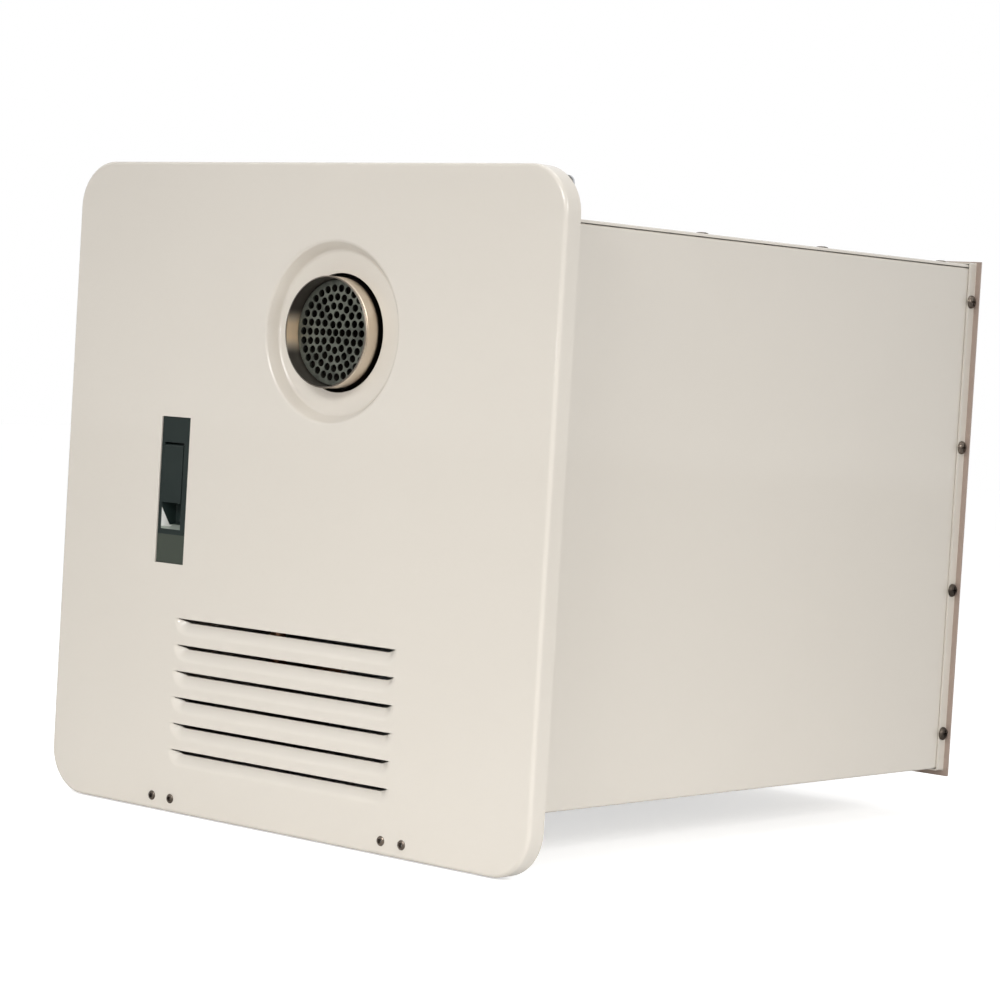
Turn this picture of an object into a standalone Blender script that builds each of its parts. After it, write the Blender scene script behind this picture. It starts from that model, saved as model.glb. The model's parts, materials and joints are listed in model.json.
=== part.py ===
# A tankless water heater that is built into a wall cut-out, as separate pieces at their real size.
# Metres, +X to the right seen from the front, +Y into the case, +Z up.
# The origin is the middle of the case's cross-section, in the plane of the wall's outer face.
import math

import bmesh
import bpy
from mathutils import Euler, Matrix, Vector

OBJECT_NAME = "tankless_water_heater"

# Gaps and cuts that several pieces share
SEAT_GAP = 0.0003
RUN_GAP = 0.0012
OVERRUN = 0.004
WELD = 0.000002
SMOOTH_ANGLE = math.radians(35)
ARC_STEPS = 3
FLAT_SHARE = 0.9
ROUND_SIDES = 12
SMALL_SIDES = 6
FITTING_SIDES = 14
PROBE_SIDES = 10

# Door; its lap is what it covers beyond the mounting flange on each side
DOOR_LAP = 0.0075
DOOR_DEPTH = 0.012
DOOR_CORNER_RADIUS = 0.027
DOOR_EDGE_RADIUS = 0.0045
DOOR_SHEET = 0.001
DOOR_DROP = 0.0023
DOOR_STANDOFF = 0.0022
DOOR_CORNER_STEPS = 6
DOOR_EDGE_STEPS = 3

# Dished bowl round the flue mouth; its middle's height above the case's middle is a share of the case's
FLUE_X = 0.0245
FLUE_RISE_SHARE = 0.2877
BOWL_RADIUS = 0.0525
BOWL_DEPTH = 0.007
BOWL_ROLL_RADIUS = 0.0035
BOWL_FILLET_RADIUS = 0.0035
BOWL_WALL_ANGLE = math.radians(50)
BOWL_SIDES = 32
FLUE_CLEARANCE = 0.0023

# Louvres, pressed inwards below each slit
LOUVRE_COUNT = 6
LOUVRE_LEFT = -0.0855
LOUVRE_RIGHT = 0.0875
LOUVRE_FOOT = 0.0265
LOUVRE_PITCH = 0.01534
LOUVRE_HEIGHT = 0.0105
LOUVRE_DEPTH = 0.0042
LOUVRE_SLIT = 0.0011
LOUVRE_END_STEPS = 4
LOUVRE_FALL_STEPS = 3

# Case
CASE_WIDTH = 0.324
CASE_HEIGHT = 0.324
CASE_DEPTH = 0.4328
CASE_SHEET = 0.001
COVER_LIP = 0.0018
SIDE_FLANGE = 0.014
REAR_SKIRT = 0.008
REAR_LIP = 0.0036
REAR_CORNER_RADIUS = 0.004
SKIRT_CORNER_RADIUS = 0.0015

# Mounting flange, its wall screw holes and the door's foam seal
FLANGE_LAP = 0.021
FLANGE_SHEET = 0.0012
FLANGE_CORNER_RADIUS = 0.012
FLANGE_CORNER_STEPS = 3
FLANGE_COLLAR = 0.012
WALL_HOLE_RADIUS = 0.0025
WALL_HOLE_INSET = 0.0055
WALL_HOLE_CORNER_ROOM = 0.033
WALL_HOLES_A_SIDE = 3
GASKET_INSET = 0.011
GASKET_WIDTH = 0.007

# Door hinges along the bottom edge
HINGE_SPREAD = 0.0923
HINGE_WIDTH = 0.034
HINGE_SHEET = 0.001
HINGE_LEAF_HEIGHT = 0.012
HINGE_RIVET_SPACING = 0.0155
HINGE_RIVET_RISE = 0.008
HINGE_RIVET_RADIUS = 0.0016
HINGE_PIN_RADIUS = 0.001
KNUCKLE_WALL = 0.0008
KNUCKLE_LENGTH = 0.009
HINGE_NOTCH_MARGIN = 0.0015
HINGE_RIVET_SIDES = 8

# Flush latch, measured from the door's middle
LATCH_X = -0.0965
LATCH_Z = -0.0019
LATCH_WIDTH = 0.024
LATCH_HEIGHT = 0.0862
LATCH_RECESS = 0.0006
LATCH_BODY_DEPTH = 0.015
LATCH_RIM = 0.003
LATCH_RIM_SHEET = 0.0016
PADDLE_LEFT_RAIL = 0.0026
PADDLE_WIDTH = 0.0165
PADDLE_TOP = 0.026
PADDLE_BOTTOM = -0.0096
PADDLE_SHEET = 0.0028
PADDLE_PIN_DROP = 0.0037
PADDLE_PIN_DEPTH = 0.0032
PADDLE_HEAD_RISE = 0.0026
PADDLE_HEAD_CHAMFER = 0.001
LATCH_PIN_RADIUS = 0.001
LATCH_PIN_SOCKET = 0.0014
PADDLE_HUB_RADIUS = 0.0024
SCOOP_BOTTOM = -0.0250
SCOOP_DEPTH = 0.009
SCOOP_TAPER = 0.0035
SCOOP_UNDERCUT = 0.008
PAWL_DROP = 0.0025
PAWL_RISE = 0.0004
PAWL_WIDTH = 0.006
PAWL_HOOK_RISE = 0.0035
PAWL_HOOK_LENGTH = 0.003
PAWL_TRAVEL_ROOM = 0.0062
SPRING_WIRE_RADIUS = 0.00035
SPRING_RADIUS = 0.0020
SPRING_ROOM = 0.009
SPRING_CURLS = 4
SPRING_STEPS = 8

# Keeper strip and the bar that carries it
KEEPER_SHEET = 0.0008
KEEPER_WIDTH = 0.012
KEEPER_HEIGHT = 0.018
KEEPER_OVERLAP = 0.0015
KEEPER_STANDOFF = 0.0015
KEEPER_BAR_SHEET = 0.0012
KEEPER_BAR_HEIGHT = 0.018
KEEPER_BAR_FOOT = 0.022

# Flue tube and perforated disc
FLUE_RADIUS = 0.0313
FLUE_SHEET = 0.001
FLUE_PROUD = 0.0047
FLUE_SIDES = 32
FLUE_BEAD = 0.0006
FLUE_INSERTION = 0.010
SCREEN_SETBACK = 0.0087
SCREEN_SHEET = 0.001
SCREEN_SKIRT = 0.005
SCREEN_RINGS = 5
SCREEN_RING_PITCH = 0.005
SCREEN_HOLE_RADIUS = 0.00195
SCREEN_HOLE_SIDES = 6
SCREEN_HOLES_STEP = 6

# Burner stack, from the case floor up. The plenum, burner and chamber take shares of its height under
# the hood and the exchanger the rest; a bar's and a fin's share is of its own duct's height.
STACK_FRONT = 0.112
STACK_SIDE_ROOM = 0.0465
STACK_REAR_ROOM = 0.1548
STACK_SHEET = 0.0012
STACK_FLANGE = 0.007
PLENUM_SHARE = 0.330
BURNER_SHARE = 0.204
CHAMBER_SHARE = 0.301
HOOD_RISE = 0.0159
HOOD_CROWN = 0.018
HOOD_TAPER = 0.020
HOOD_COLLAR_LENGTH = 0.014
HOOD_COLLAR_SHEET = 0.001
BURNER_BAR_COUNT = 8
BURNER_BAR_WIDTH = 0.008
BURNER_BAR_HEIGHT_SHARE = 0.667
BURNER_RAIL_HEIGHT = 0.006
BURNER_RAIL_DEPTH = 0.005
BURNER_MOUTH_RADIUS = 0.0026
BURNER_MOUTH_DEPTH = 0.016
FIN_COUNT = 16
FIN_SHEET = 0.002
FIN_HEIGHT_SHARE = 0.88
FIN_TUBE_COUNT = 2
FIN_TUBE_WIDTH = 0.0126
FIN_TUBE_HEIGHT = 0.008

# Igniter, flame sensor and overheat cut-out on the stack's front wall
PROBE_SPREAD = 0.030
PROBE_RISE = 0.012
PROBE_BODY_RADIUS = 0.0042
PROBE_BODY_LENGTH = 0.022
PROBE_ROD_RADIUS = 0.0015
PROBE_ROD_LENGTH = 0.026
PROBE_FLANGE_RADIUS = 0.0075
PROBE_FLANGE_SHEET = 0.0012
PROBE_TAIL_LENGTH = 0.006
PROBE_HOLE_RADIUS = 0.0045
CUTOUT_RADIUS = 0.009
CUTOUT_LENGTH = 0.010
CUTOUT_TAB_RADIUS = 0.004
CUTOUT_TAB_LENGTH = 0.005

# Blower
BLOWER_WIDTH = 0.052
BLOWER_SHEET = 0.0014
BLOWER_INNER_RADIUS = 0.041
BLOWER_OUTER_RADIUS = 0.056
BLOWER_OUTLET_HEIGHT = 0.044
BLOWER_REACH = 0.075
BLOWER_EYE_RADIUS = 0.026
BLOWER_SHAFT_HOLE_RADIUS = 0.006
BLOWER_SCROLL_STEPS = 18
IMPELLER_RADIUS = 0.035
IMPELLER_BLADE_DEPTH = 0.008
IMPELLER_BLADE_SHEET = 0.0010
IMPELLER_BLADES = 16
IMPELLER_BLADE_LEAN = math.radians(35)
IMPELLER_DISC_SHEET = 0.0018
IMPELLER_RING_WIDTH = 0.007
IMPELLER_HUB_RADIUS = 0.008
IMPELLER_HUB_LENGTH = 0.014
IMPELLER_SIDE_GAP = 0.0025
SHAFT_RADIUS = 0.003
SHAFT_OVERHANG = 0.006
SHAFT_IN_MOTOR = 0.020
MOTOR_RADIUS = 0.027
MOTOR_LENGTH = 0.036
MOTOR_BOSS_RADIUS = 0.010
MOTOR_BOSS_LENGTH = 0.005

# Gas line
GAS_INSET = 0.049
GAS_RISE = 0.043
GAS_VALVE_WIDTH = 0.052
GAS_VALVE_DEPTH = 0.070
GAS_VALVE_HEIGHT = 0.044
GAS_VALVE_FRONT = 0.150
GAS_SOLENOID_RADIUS = 0.014
GAS_SOLENOID_HEIGHT = 0.030
GAS_SOLENOID_SPACING = 0.034
SOLENOID_COIL_SHARE = 0.75
SOLENOID_CAP_SHARE = 0.45
GAS_PIPE_RADIUS = 0.0063
GAS_TUBE_RADIUS = 0.0050
VALVE_FOOT_SHEET = 0.0015
VALVE_FOOT_DEPTH = 0.040
VALVE_FOOT_WIDTH = 0.036
MANIFOLD_RADIUS = 0.0070
MANIFOLD_STANDOFF = 0.016
MANIFOLD_OVERHANG = 0.012
MANIFOLD_FLANGE_SHEET = 0.003
MANIFOLD_FLANGE_RADIUS = 0.0105
NOZZLE_RADIUS = 0.0026
NOZZLE_HOLE_RADIUS = 0.0038

# Water line and the fittings through the rear cover. The wrap's rise and pitch are shares of the
# chamber's height, and its shift and end are shares of the stack's depth.
WATER_INSET = 0.032
COLD_RISE = 0.039
HOT_RISE = 0.091
FITTING_RADIUS = 0.0105
FITTING_BORE_RADIUS = 0.0070
FITTING_BORE_DEPTH = 0.024
FITTING_REACH = 0.026
FITTING_NUT_RADIUS = 0.0155
FITTING_NUT_LENGTH = 0.008
FITTING_TAIL = 0.014
FITTING_HOLE_GAP = 0.0006
WATER_PIPE_RADIUS = 0.0063
PIPE_BEND = 0.012
PIPE_BEND_STEPS = 3
RISER_INSET = 0.015
OUTLET_INSET = 0.038
OUTLET_RUN = 0.0795
WRAP_STANDOFF = 0.0021
WRAP_RISE_SHARE = 0.4935
WRAP_PITCH_SHARE = 0.29
WRAP_SHIFT_SHARE = 0.2424
WRAP_END_SHARE = 0.685
SENSOR_RADIUS = 0.0130
SENSOR_BORE_RADIUS = 0.0098
SENSOR_LENGTH = 0.044
SENSOR_NECK_RADIUS = 0.0090
SENSOR_NECK_LENGTH = 0.009
SENSOR_NECK_BORE_RADIUS = 0.0050
SENSOR_RUN = 0.0575
SENSOR_BOX_WIDTH = 0.016
SENSOR_BOX_DEPTH = 0.020
SENSOR_BOX_HEIGHT = 0.012
ROTOR_RADIUS = 0.0085
ROTOR_VANES = 5
ROTOR_VANE_SHEET = 0.0012
ROTOR_HUB_RADIUS = 0.0025

# Control pieces
CONTROL_WIDTH = 0.078
CONTROL_DEPTH = 0.036
CONTROL_HEIGHT = 0.108
CONTROL_FRONT = 0.026
CONTROL_TOP_ROOM = 0.008
CONTROL_SHEET = 0.0016
CONTROL_COVER_LIP = 0.006
CONTROL_BOSS_RADIUS = 0.0028
CONTROL_BOSS_INSET = 0.008
BOARD_SHEET = 0.0016
BOARD_STANDOFF = 0.007
BOARD_MARGIN = 0.0025
RELAY_SIZE = Vector((0.016, 0.011, 0.020))
CHIP_SIZE = Vector((0.022, 0.003, 0.022))
PLUG_SIZE = Vector((0.030, 0.009, 0.008))
RELAY_PLACE_SHARES = (-0.25, -0.05)
CHIP_PLACE_SHARES = (0.15, -0.08)
PLUG_PLACE_SHARES = (0, -0.35)
SWITCH_WIDTH = 0.015
SWITCH_HEIGHT = 0.021
SWITCH_RIM = 0.0025
SWITCH_RIM_SHEET = 0.0018
SWITCH_WALL = 0.0014
SWITCH_DEPTH = 0.014
SWITCH_RISE = 0.030
ROCKER_HALF_DEPTH = 0.0030
ROCKER_PIVOT_DEPTH = 0.0020
ROCKER_CLEARANCE = 0.0009
ROCKER_TILT = math.radians(11)
SPARK_WIDTH = 0.028
SPARK_DEPTH = 0.048
SPARK_HEIGHT = 0.040
SPARK_FRONT = 0.080
SPARK_LEAD_ROOM = 0.0061
SPARK_SOCKET_RADIUS = 0.0045
SPARK_SOCKET_LENGTH = 0.007
SPARK_LEAD_RADIUS = 0.0025
SPARK_LEAD_INSET = 0.061
SPARK_LEAD_Y = 0.068
SPARK_LEAD_BEND = 0.008
LOOM_RADIUS = 0.0040
LOOM_BEND = 0.014
LOOM_INSET = 0.011
LOOM_REAR_ROOM = 0.0368
GLAND_INSET = 0.101
GLAND_RISE = 0.039
GLAND_RADIUS = 0.009
GLAND_BORE_RADIUS = 0.0045
GLAND_BORE_DEPTH = 0.012
GLAND_REACH = 0.014
GLAND_NUT_RADIUS = 0.0125
GLAND_NUT_LENGTH = 0.005

# Sizes and places that follow from the values above
CASE_FLOOR = -CASE_HEIGHT / 2 + CASE_SHEET
CASE_TOP = CASE_HEIGHT / 2
CASE_INNER_X = CASE_WIDTH / 2 - CASE_SHEET
WALL_X = -CASE_INNER_X + SEAT_GAP
REAR_INNER = CASE_DEPTH - CASE_SHEET
FLANGE_WIDTH = CASE_WIDTH + 2 * FLANGE_LAP
FLANGE_HEIGHT = CASE_HEIGHT + 2 * FLANGE_LAP
DOOR_WIDTH = FLANGE_WIDTH + 2 * DOOR_LAP
DOOR_HEIGHT = FLANGE_HEIGHT + 2 * DOOR_LAP
DOOR_BACK = -DOOR_STANDOFF
DOOR_FRONT = DOOR_BACK - DOOR_DEPTH
DOOR_INNER = DOOR_FRONT + DOOR_SHEET
DOOR_BOTTOM = -DOOR_DROP - DOOR_HEIGHT / 2
LOUVRE_TOP = DOOR_BOTTOM + LOUVRE_FOOT + LOUVRE_HEIGHT + (LOUVRE_COUNT - 1) * LOUVRE_PITCH
FLUE_Z = CASE_HEIGHT * FLUE_RISE_SHARE
FLUE_MOUTH = DOOR_FRONT - FLUE_PROUD
KNUCKLE_RADIUS = HINGE_PIN_RADIUS + SEAT_GAP + KNUCKLE_WALL
HINGE_Z = DOOR_BOTTOM + DOOR_SHEET + SEAT_GAP + KNUCKLE_RADIUS
HINGE_Y = -FLANGE_SHEET - SEAT_GAP - HINGE_SHEET / 2 - KNUCKLE_RADIUS
LATCH_ROW_Z = LATCH_Z - DOOR_DROP
PIN_Z = PADDLE_TOP - PADDLE_PIN_DROP - DOOR_DROP
PADDLE_FRONT = DOOR_FRONT + LATCH_RECESS - SEAT_GAP
PIN_Y = PADDLE_FRONT + PADDLE_PIN_DEPTH
LATCH_BACK = DOOR_FRONT + LATCH_BODY_DEPTH
PADDLE_LEFT = LATCH_X - LATCH_WIDTH / 2 + PADDLE_LEFT_RAIL
PADDLE_X = PADDLE_LEFT + PADDLE_WIDTH / 2
BAY_BACK = PIN_Y + PADDLE_HUB_RADIUS + RUN_GAP
SPRING_Y = (BAY_BACK + LATCH_BACK) / 2
SPRING_FLOOR = PIN_Z - PAWL_DROP - SPRING_ROOM
KEEPER_FRONT = LATCH_BACK + KEEPER_STANDOFF
HOOK_FACE = KEEPER_FRONT + KEEPER_SHEET + SEAT_GAP
HOOK_TOP = PIN_Z + PAWL_HOOK_RISE
STACK_WIDTH = 2 * (CASE_INNER_X - STACK_SIDE_ROOM - FLUE_X)
STACK_DEPTH = REAR_INNER - STACK_REAR_ROOM - STACK_FRONT
STACK_CENTRE_Y = STACK_FRONT + STACK_DEPTH / 2
STACK_REAR = STACK_FRONT + STACK_DEPTH
STACK_LEFT = FLUE_X - STACK_WIDTH / 2
STACK_RIGHT = FLUE_X + STACK_WIDTH / 2
STACK_INNER_WIDTH = STACK_WIDTH - 2 * STACK_SHEET
STACK_INNER_DEPTH = STACK_DEPTH - 2 * STACK_SHEET
PLENUM_BASE = CASE_FLOOR + SEAT_GAP
HOOD_BASE = FLUE_Z - FLUE_RADIUS - HOOD_RISE
HOOD_HEIGHT = FLUE_Z + FLUE_RADIUS + HOOD_CROWN - HOOD_BASE
STACK_HEIGHT = HOOD_BASE - PLENUM_BASE - 4 * SEAT_GAP
PLENUM_HEIGHT = STACK_HEIGHT * PLENUM_SHARE
BURNER_HEIGHT = STACK_HEIGHT * BURNER_SHARE
CHAMBER_HEIGHT = STACK_HEIGHT * CHAMBER_SHARE
EXCHANGER_HEIGHT = STACK_HEIGHT - PLENUM_HEIGHT - BURNER_HEIGHT - CHAMBER_HEIGHT
BURNER_BASE = PLENUM_BASE + PLENUM_HEIGHT + SEAT_GAP
CHAMBER_BASE = BURNER_BASE + BURNER_HEIGHT + SEAT_GAP
EXCHANGER_BASE = CHAMBER_BASE + CHAMBER_HEIGHT + SEAT_GAP
BURNER_BAR_HEIGHT = BURNER_HEIGHT * BURNER_BAR_HEIGHT_SHARE
FIN_HEIGHT = EXCHANGER_HEIGHT * FIN_HEIGHT_SHARE
NOZZLE_Z = BURNER_BASE + BURNER_HEIGHT / 2
EXCHANGER_Z = EXCHANGER_BASE + EXCHANGER_HEIGHT / 2
PROBE_Z = CHAMBER_BASE + PROBE_RISE
MANIFOLD_LEFT = STACK_LEFT - MANIFOLD_OVERHANG
MOTOR_FACE = FLUE_X - BLOWER_WIDTH / 2 - SEAT_GAP
BLOWER_Y = STACK_REAR + SEAT_GAP + BLOWER_REACH
BLOWER_Z = CASE_FLOOR + SEAT_GAP + BLOWER_OUTER_RADIUS
FITTING_FRONT = REAR_INNER - SEAT_GAP - FITTING_NUT_LENGTH - FITTING_TAIL
WATER_X = CASE_INNER_X - WATER_INSET
COLD_Z = CASE_FLOOR + COLD_RISE
HOT_Z = CASE_FLOOR + HOT_RISE
SENSOR_REAR = FITTING_FRONT - SENSOR_RUN
SENSOR_FRONT = SENSOR_REAR - SENSOR_LENGTH
SENSOR_MIDDLE = SENSOR_REAR - SENSOR_LENGTH / 2
SENSOR_CAVITY = SENSOR_LENGTH - 2 * (SENSOR_NECK_LENGTH + SENSOR_RADIUS - SENSOR_BORE_RADIUS)
ROTOR_LENGTH = SENSOR_CAVITY - 2 * SEAT_GAP
RISER_Y = STACK_REAR - RISER_INSET
OUTLET_START_Y = STACK_FRONT + OUTLET_INSET
OUTLET_DROP_Y = FITTING_FRONT - OUTLET_RUN
WRAP_RISE = CHAMBER_HEIGHT * WRAP_RISE_SHARE
WRAP_PITCH = CHAMBER_HEIGHT * WRAP_PITCH_SHARE
WRAP_SHIFT = STACK_DEPTH * WRAP_SHIFT_SHARE
WRAP_END_Y = STACK_FRONT + STACK_DEPTH * WRAP_END_SHARE
GAS_X = -CASE_INNER_X + GAS_INSET
GAS_Z = CASE_FLOOR + GAS_RISE
CONTROL_BOTTOM = CASE_TOP - CONTROL_TOP_ROOM - CONTROL_HEIGHT
BOARD_BACK = CONTROL_FRONT + CONTROL_DEPTH - CONTROL_SHEET - BOARD_STANDOFF
SPARK_Z = NOZZLE_Z + GAS_TUBE_RADIUS + SPARK_LEAD_ROOM + SPARK_LEAD_RADIUS
SPARK_LEAD_X = -CASE_INNER_X + SPARK_LEAD_INSET
LOOM_X = -CASE_INNER_X + LOOM_INSET
LOOM_Z = (SPARK_Z + SPARK_HEIGHT / 2 + CONTROL_BOTTOM) / 2
LOOM_REAR = REAR_INNER - LOOM_REAR_ROOM
GLAND_X = -CASE_INNER_X + GLAND_INSET
GLAND_Z = CASE_FLOOR + GLAND_RISE

FINISHES = {
    "paint": ((0.70, 0.66, 0.59, 1.0), 0.38, 0.0),
    "galvanised": ((0.56, 0.57, 0.58, 1.0), 0.45, 0.9),
    "stainless": ((0.60, 0.57, 0.53, 1.0), 0.25, 1.0),
    "steel": ((0.38, 0.38, 0.39, 1.0), 0.35, 1.0),
    "black_plastic": ((0.030, 0.042, 0.038, 1.0), 0.32, 0.0),
    "grey_plastic": ((0.20, 0.21, 0.22, 1.0), 0.50, 0.0),
    "copper": ((0.72, 0.36, 0.22, 1.0), 0.28, 1.0),
    "brass": ((0.72, 0.55, 0.26, 1.0), 0.30, 1.0),
    "aluminium": ((0.68, 0.69, 0.70, 1.0), 0.40, 1.0),
    "foam": ((0.035, 0.035, 0.037, 1.0), 0.90, 0.0),
    "board": ((0.02, 0.16, 0.06, 1.0), 0.45, 0.0),
    "ceramic": ((0.80, 0.79, 0.75, 1.0), 0.30, 0.0),
    "cable": ((0.03, 0.03, 0.03, 1.0), 0.55, 0.0),
    "red_cable": ((0.45, 0.03, 0.02, 1.0), 0.50, 0.0),
}

# Rotations that lay a flat outline, drawn in X and Y, into another plane, or a turned piece along an axis
FACING_FRONT = Euler((math.pi / 2, 0, 0)).to_matrix().to_4x4()
FACING_SIDE = Euler((math.pi / 2, 0, math.pi / 2)).to_matrix().to_4x4()
FACING_UP = Matrix.Identity(4)
ALONG_Y = Euler((-math.pi / 2, 0, 0)).to_matrix().to_4x4()
ALONG_X = Euler((0, math.pi / 2, 0)).to_matrix().to_4x4()
ALONG_Z = Matrix.Identity(4)


def clear_scene():
    for obj in list(bpy.data.objects):
        bpy.data.objects.remove(obj)


def new_collection(name):
    collection = bpy.data.collections.new(name)
    bpy.context.scene.collection.children.link(collection)
    return collection


def link_object(name, data, matrix=FACING_UP, collection=None):
    obj = bpy.data.objects.new(name, data)
    obj.matrix_world = matrix
    (collection or TOOLS).objects.link(obj)
    return obj


def finish_piece(obj, name, finish, smooth=True):
    """Name the piece, give it its own material and move it to the parts."""
    colour, roughness, metallic = FINISHES[finish]
    material = bpy.data.materials.new(name + "_" + finish)
    material.use_nodes = True
    shader = material.node_tree.nodes["Principled BSDF"]
    shader.inputs["Base Color"].default_value = colour
    shader.inputs["Roughness"].default_value = roughness
    shader.inputs["Metallic"].default_value = metallic
    obj.name = name
    obj.data.name = name
    obj.data.materials.clear()
    obj.data.materials.append(material)
    if smooth:
        obj.data.shade_smooth()
        obj.data.set_sharp_from_angle(angle=SMOOTH_ANGLE)
    TOOLS.objects.unlink(obj)
    PARTS.objects.link(obj)
    return obj


def mesh_object(bm, matrix=FACING_UP):
    mesh = bpy.data.meshes.new("shape")
    bm.to_mesh(mesh)
    bm.free()
    return link_object("shape", mesh, matrix)


def box(low, high):
    """A box from its lowest to its highest corner, with its origin in its middle."""
    low, high = Vector(low), Vector(high)
    bm = bmesh.new()
    bmesh.ops.create_cube(bm, size=1)
    bmesh.ops.scale(bm, vec=high - low, verts=bm.verts)
    return mesh_object(bm, Matrix.Translation((low + high) / 2))


def centred_box(centre, size):
    centre, half = Vector(centre), Vector(size) / 2
    return box(centre - half, centre + half)


def baked(obj):
    """Replace an object with a plain mesh of its evaluated shape, caps welded."""
    graph = bpy.context.evaluated_depsgraph_get()
    mesh = bpy.data.meshes.new_from_object(obj.evaluated_get(graph))
    bm = bmesh.new()
    bm.from_mesh(mesh)
    bmesh.ops.remove_doubles(bm, verts=bm.verts, dist=WELD)
    bm.to_mesh(mesh)
    bm.free()
    plain = link_object("shape", mesh, obj.matrix_world.copy())
    bpy.data.objects.remove(obj)
    return plain


def outline_solid(loops, thickness, facing=FACING_UP, centre=(0, 0, 0)):
    """A flat outline with holes, extruded evenly to both sides of its centre."""
    curve = bpy.data.curves.new("outline", "CURVE")
    curve.dimensions = "2D"
    curve.fill_mode = "BOTH"
    curve.extrude = thickness / 2
    curve.render_resolution_u = 0
    for loop in loops:
        spline = curve.splines.new("POLY")
        spline.points.add(len(loop) - 1)
        for point, (across, up) in zip(spline.points, loop):
            point.co = (across, up, 0, 1)
        spline.use_cyclic_u = True
    obj = link_object("outline", curve, Matrix.Translation(centre) @ facing)
    return baked(obj)


def turned(profile, sides, along=ALONG_Z, centre=(0, 0, 0), closed=False):
    """A profile of (radius, height) points from top to bottom, turned about its own axis."""
    bm = bmesh.new()
    verts = [bm.verts.new((radius, 0, height)) for radius, height in profile]
    for first, second in zip(verts, verts[1:]):
        bm.edges.new((first, second))
    if closed:
        bm.edges.new((verts[-1], verts[0]))
    obj = mesh_object(bm, Matrix.Translation(centre) @ along)
    screw = obj.modifiers.new("turn", "SCREW")
    screw.steps = sides
    screw.render_steps = sides
    screw.use_merge_vertices = True
    screw.merge_threshold = WELD
    solid = baked(obj)
    bm = bmesh.new()
    bm.from_mesh(solid.data)
    bmesh.ops.dissolve_verts(bm, verts=[vert for vert in bm.verts if vert.co.xy.length < WELD])
    bm.to_mesh(solid.data)
    bm.free()
    return solid


def rod(radius, length, along, centre, sides=ROUND_SIDES):
    half = length / 2
    return turned([(0, half), (radius, half), (radius, -half), (0, -half)], sides, along, centre)


def sleeve(outer, inner, length, along, centre, sides=ROUND_SIDES):
    half = length / 2
    profile = [(outer, half), (outer, -half), (inner, -half), (inner, half)]
    return turned(profile, sides, along, centre, closed=True)


def circle(radius, sides, across=0, up=0):
    turn = 2 * math.pi / sides
    return [(across + radius * math.cos(turn * i), up + radius * math.sin(turn * i)) for i in range(sides)]


def rectangle(width, height, across=0, up=0):
    right, top = width / 2, height / 2
    corners = ((right, -top), (right, top), (-right, top), (-right, -top))
    return [(across + x, up + z) for x, z in corners]


def rounded_rectangle(width, height, radius, steps, across=0, up=0):
    points = []
    for corner, (side, rise) in enumerate(((1, 1), (-1, 1), (-1, -1), (1, -1))):
        middle_x = across + side * (width / 2 - radius)
        middle_z = up + rise * (height / 2 - radius)
        for step in range(steps + 1):
            angle = (corner + step / steps) * math.pi / 2
            points.append((middle_x + radius * math.cos(angle), middle_z + radius * math.sin(angle)))
    return points


def cut_or_join(target, tools, operation):
    """Apply one exact Boolean with several tools, then drop the tools."""
    for tool in tools:
        modifier = target.modifiers.new(operation.lower(), "BOOLEAN")
        modifier.operation = operation
        modifier.solver = "EXACT"
        modifier.object = tool
    result = baked(target)
    for tool in tools:
        bpy.data.objects.remove(tool)
    return result


def cut(target, *tools):
    return cut_or_join(target, tools, "DIFFERENCE")


def joined(target, *tools):
    return cut_or_join(target, tools, "UNION")


def merged(pieces):
    """Several closed shapes that don't touch, as one mesh, to serve as one tool."""
    bm = bmesh.new()
    for piece in pieces:
        copy = piece.data.copy()
        copy.transform(piece.matrix_world)
        bm.from_mesh(copy)
        bpy.data.meshes.remove(copy)
        bpy.data.objects.remove(piece)
    return mesh_object(bm)


def moved_origin(obj, place):
    """Put an object's origin at a place and leave its shape where it is."""
    shift = Matrix.Translation(place)
    obj.data.transform(shift.inverted() @ obj.matrix_world)
    obj.matrix_world = shift
    return obj


def rounded_route(corners, bend, steps):
    """A route of straight runs with an arc of the bend radius at each inner corner."""
    points = [Vector(corners[0])]
    for before, corner, after in zip(corners, corners[1:], corners[2:]):
        before, corner, after = Vector(before), Vector(corner), Vector(after)
        back = (before - corner).normalized()
        ahead = (after - corner).normalized()
        half_turn = back.angle(ahead) / 2
        reach = bend / math.tan(half_turn)
        centre = corner + (back + ahead).normalized() * bend / math.sin(half_turn)
        start = corner + back * reach - centre
        end = corner + ahead * reach - centre
        axis, turn = start.cross(end), start.angle(end)
        for step in range(steps + 1):
            points.append(centre + Matrix.Rotation(turn * step / steps, 3, axis) @ start)
    points.append(Vector(corners[-1]))
    return points


def tube(points, radius, resolution=2):
    """A solid round tube along a route of points, with flat ends."""
    curve = bpy.data.curves.new("route", "CURVE")
    curve.dimensions = "3D"
    curve.bevel_depth = radius
    curve.bevel_resolution = resolution
    curve.use_fill_caps = True
    curve.render_resolution_u = 0
    spline = curve.splines.new("POLY")
    spline.points.add(len(points) - 1)
    for point, place in zip(spline.points, points):
        point.co = (*place, 1)
    return baked(link_object("route", curve))


def carry(obj, axis):
    """Hang a piece on the empty that marks a joint's axis, without moving it."""
    obj.parent = axis
    obj.matrix_parent_inverse = axis.matrix_world.inverted()


def joint_axis(name, place):
    axis = link_object(name, None, Matrix.Translation(place), PARTS)
    bpy.context.view_layer.update()
    return axis


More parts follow.
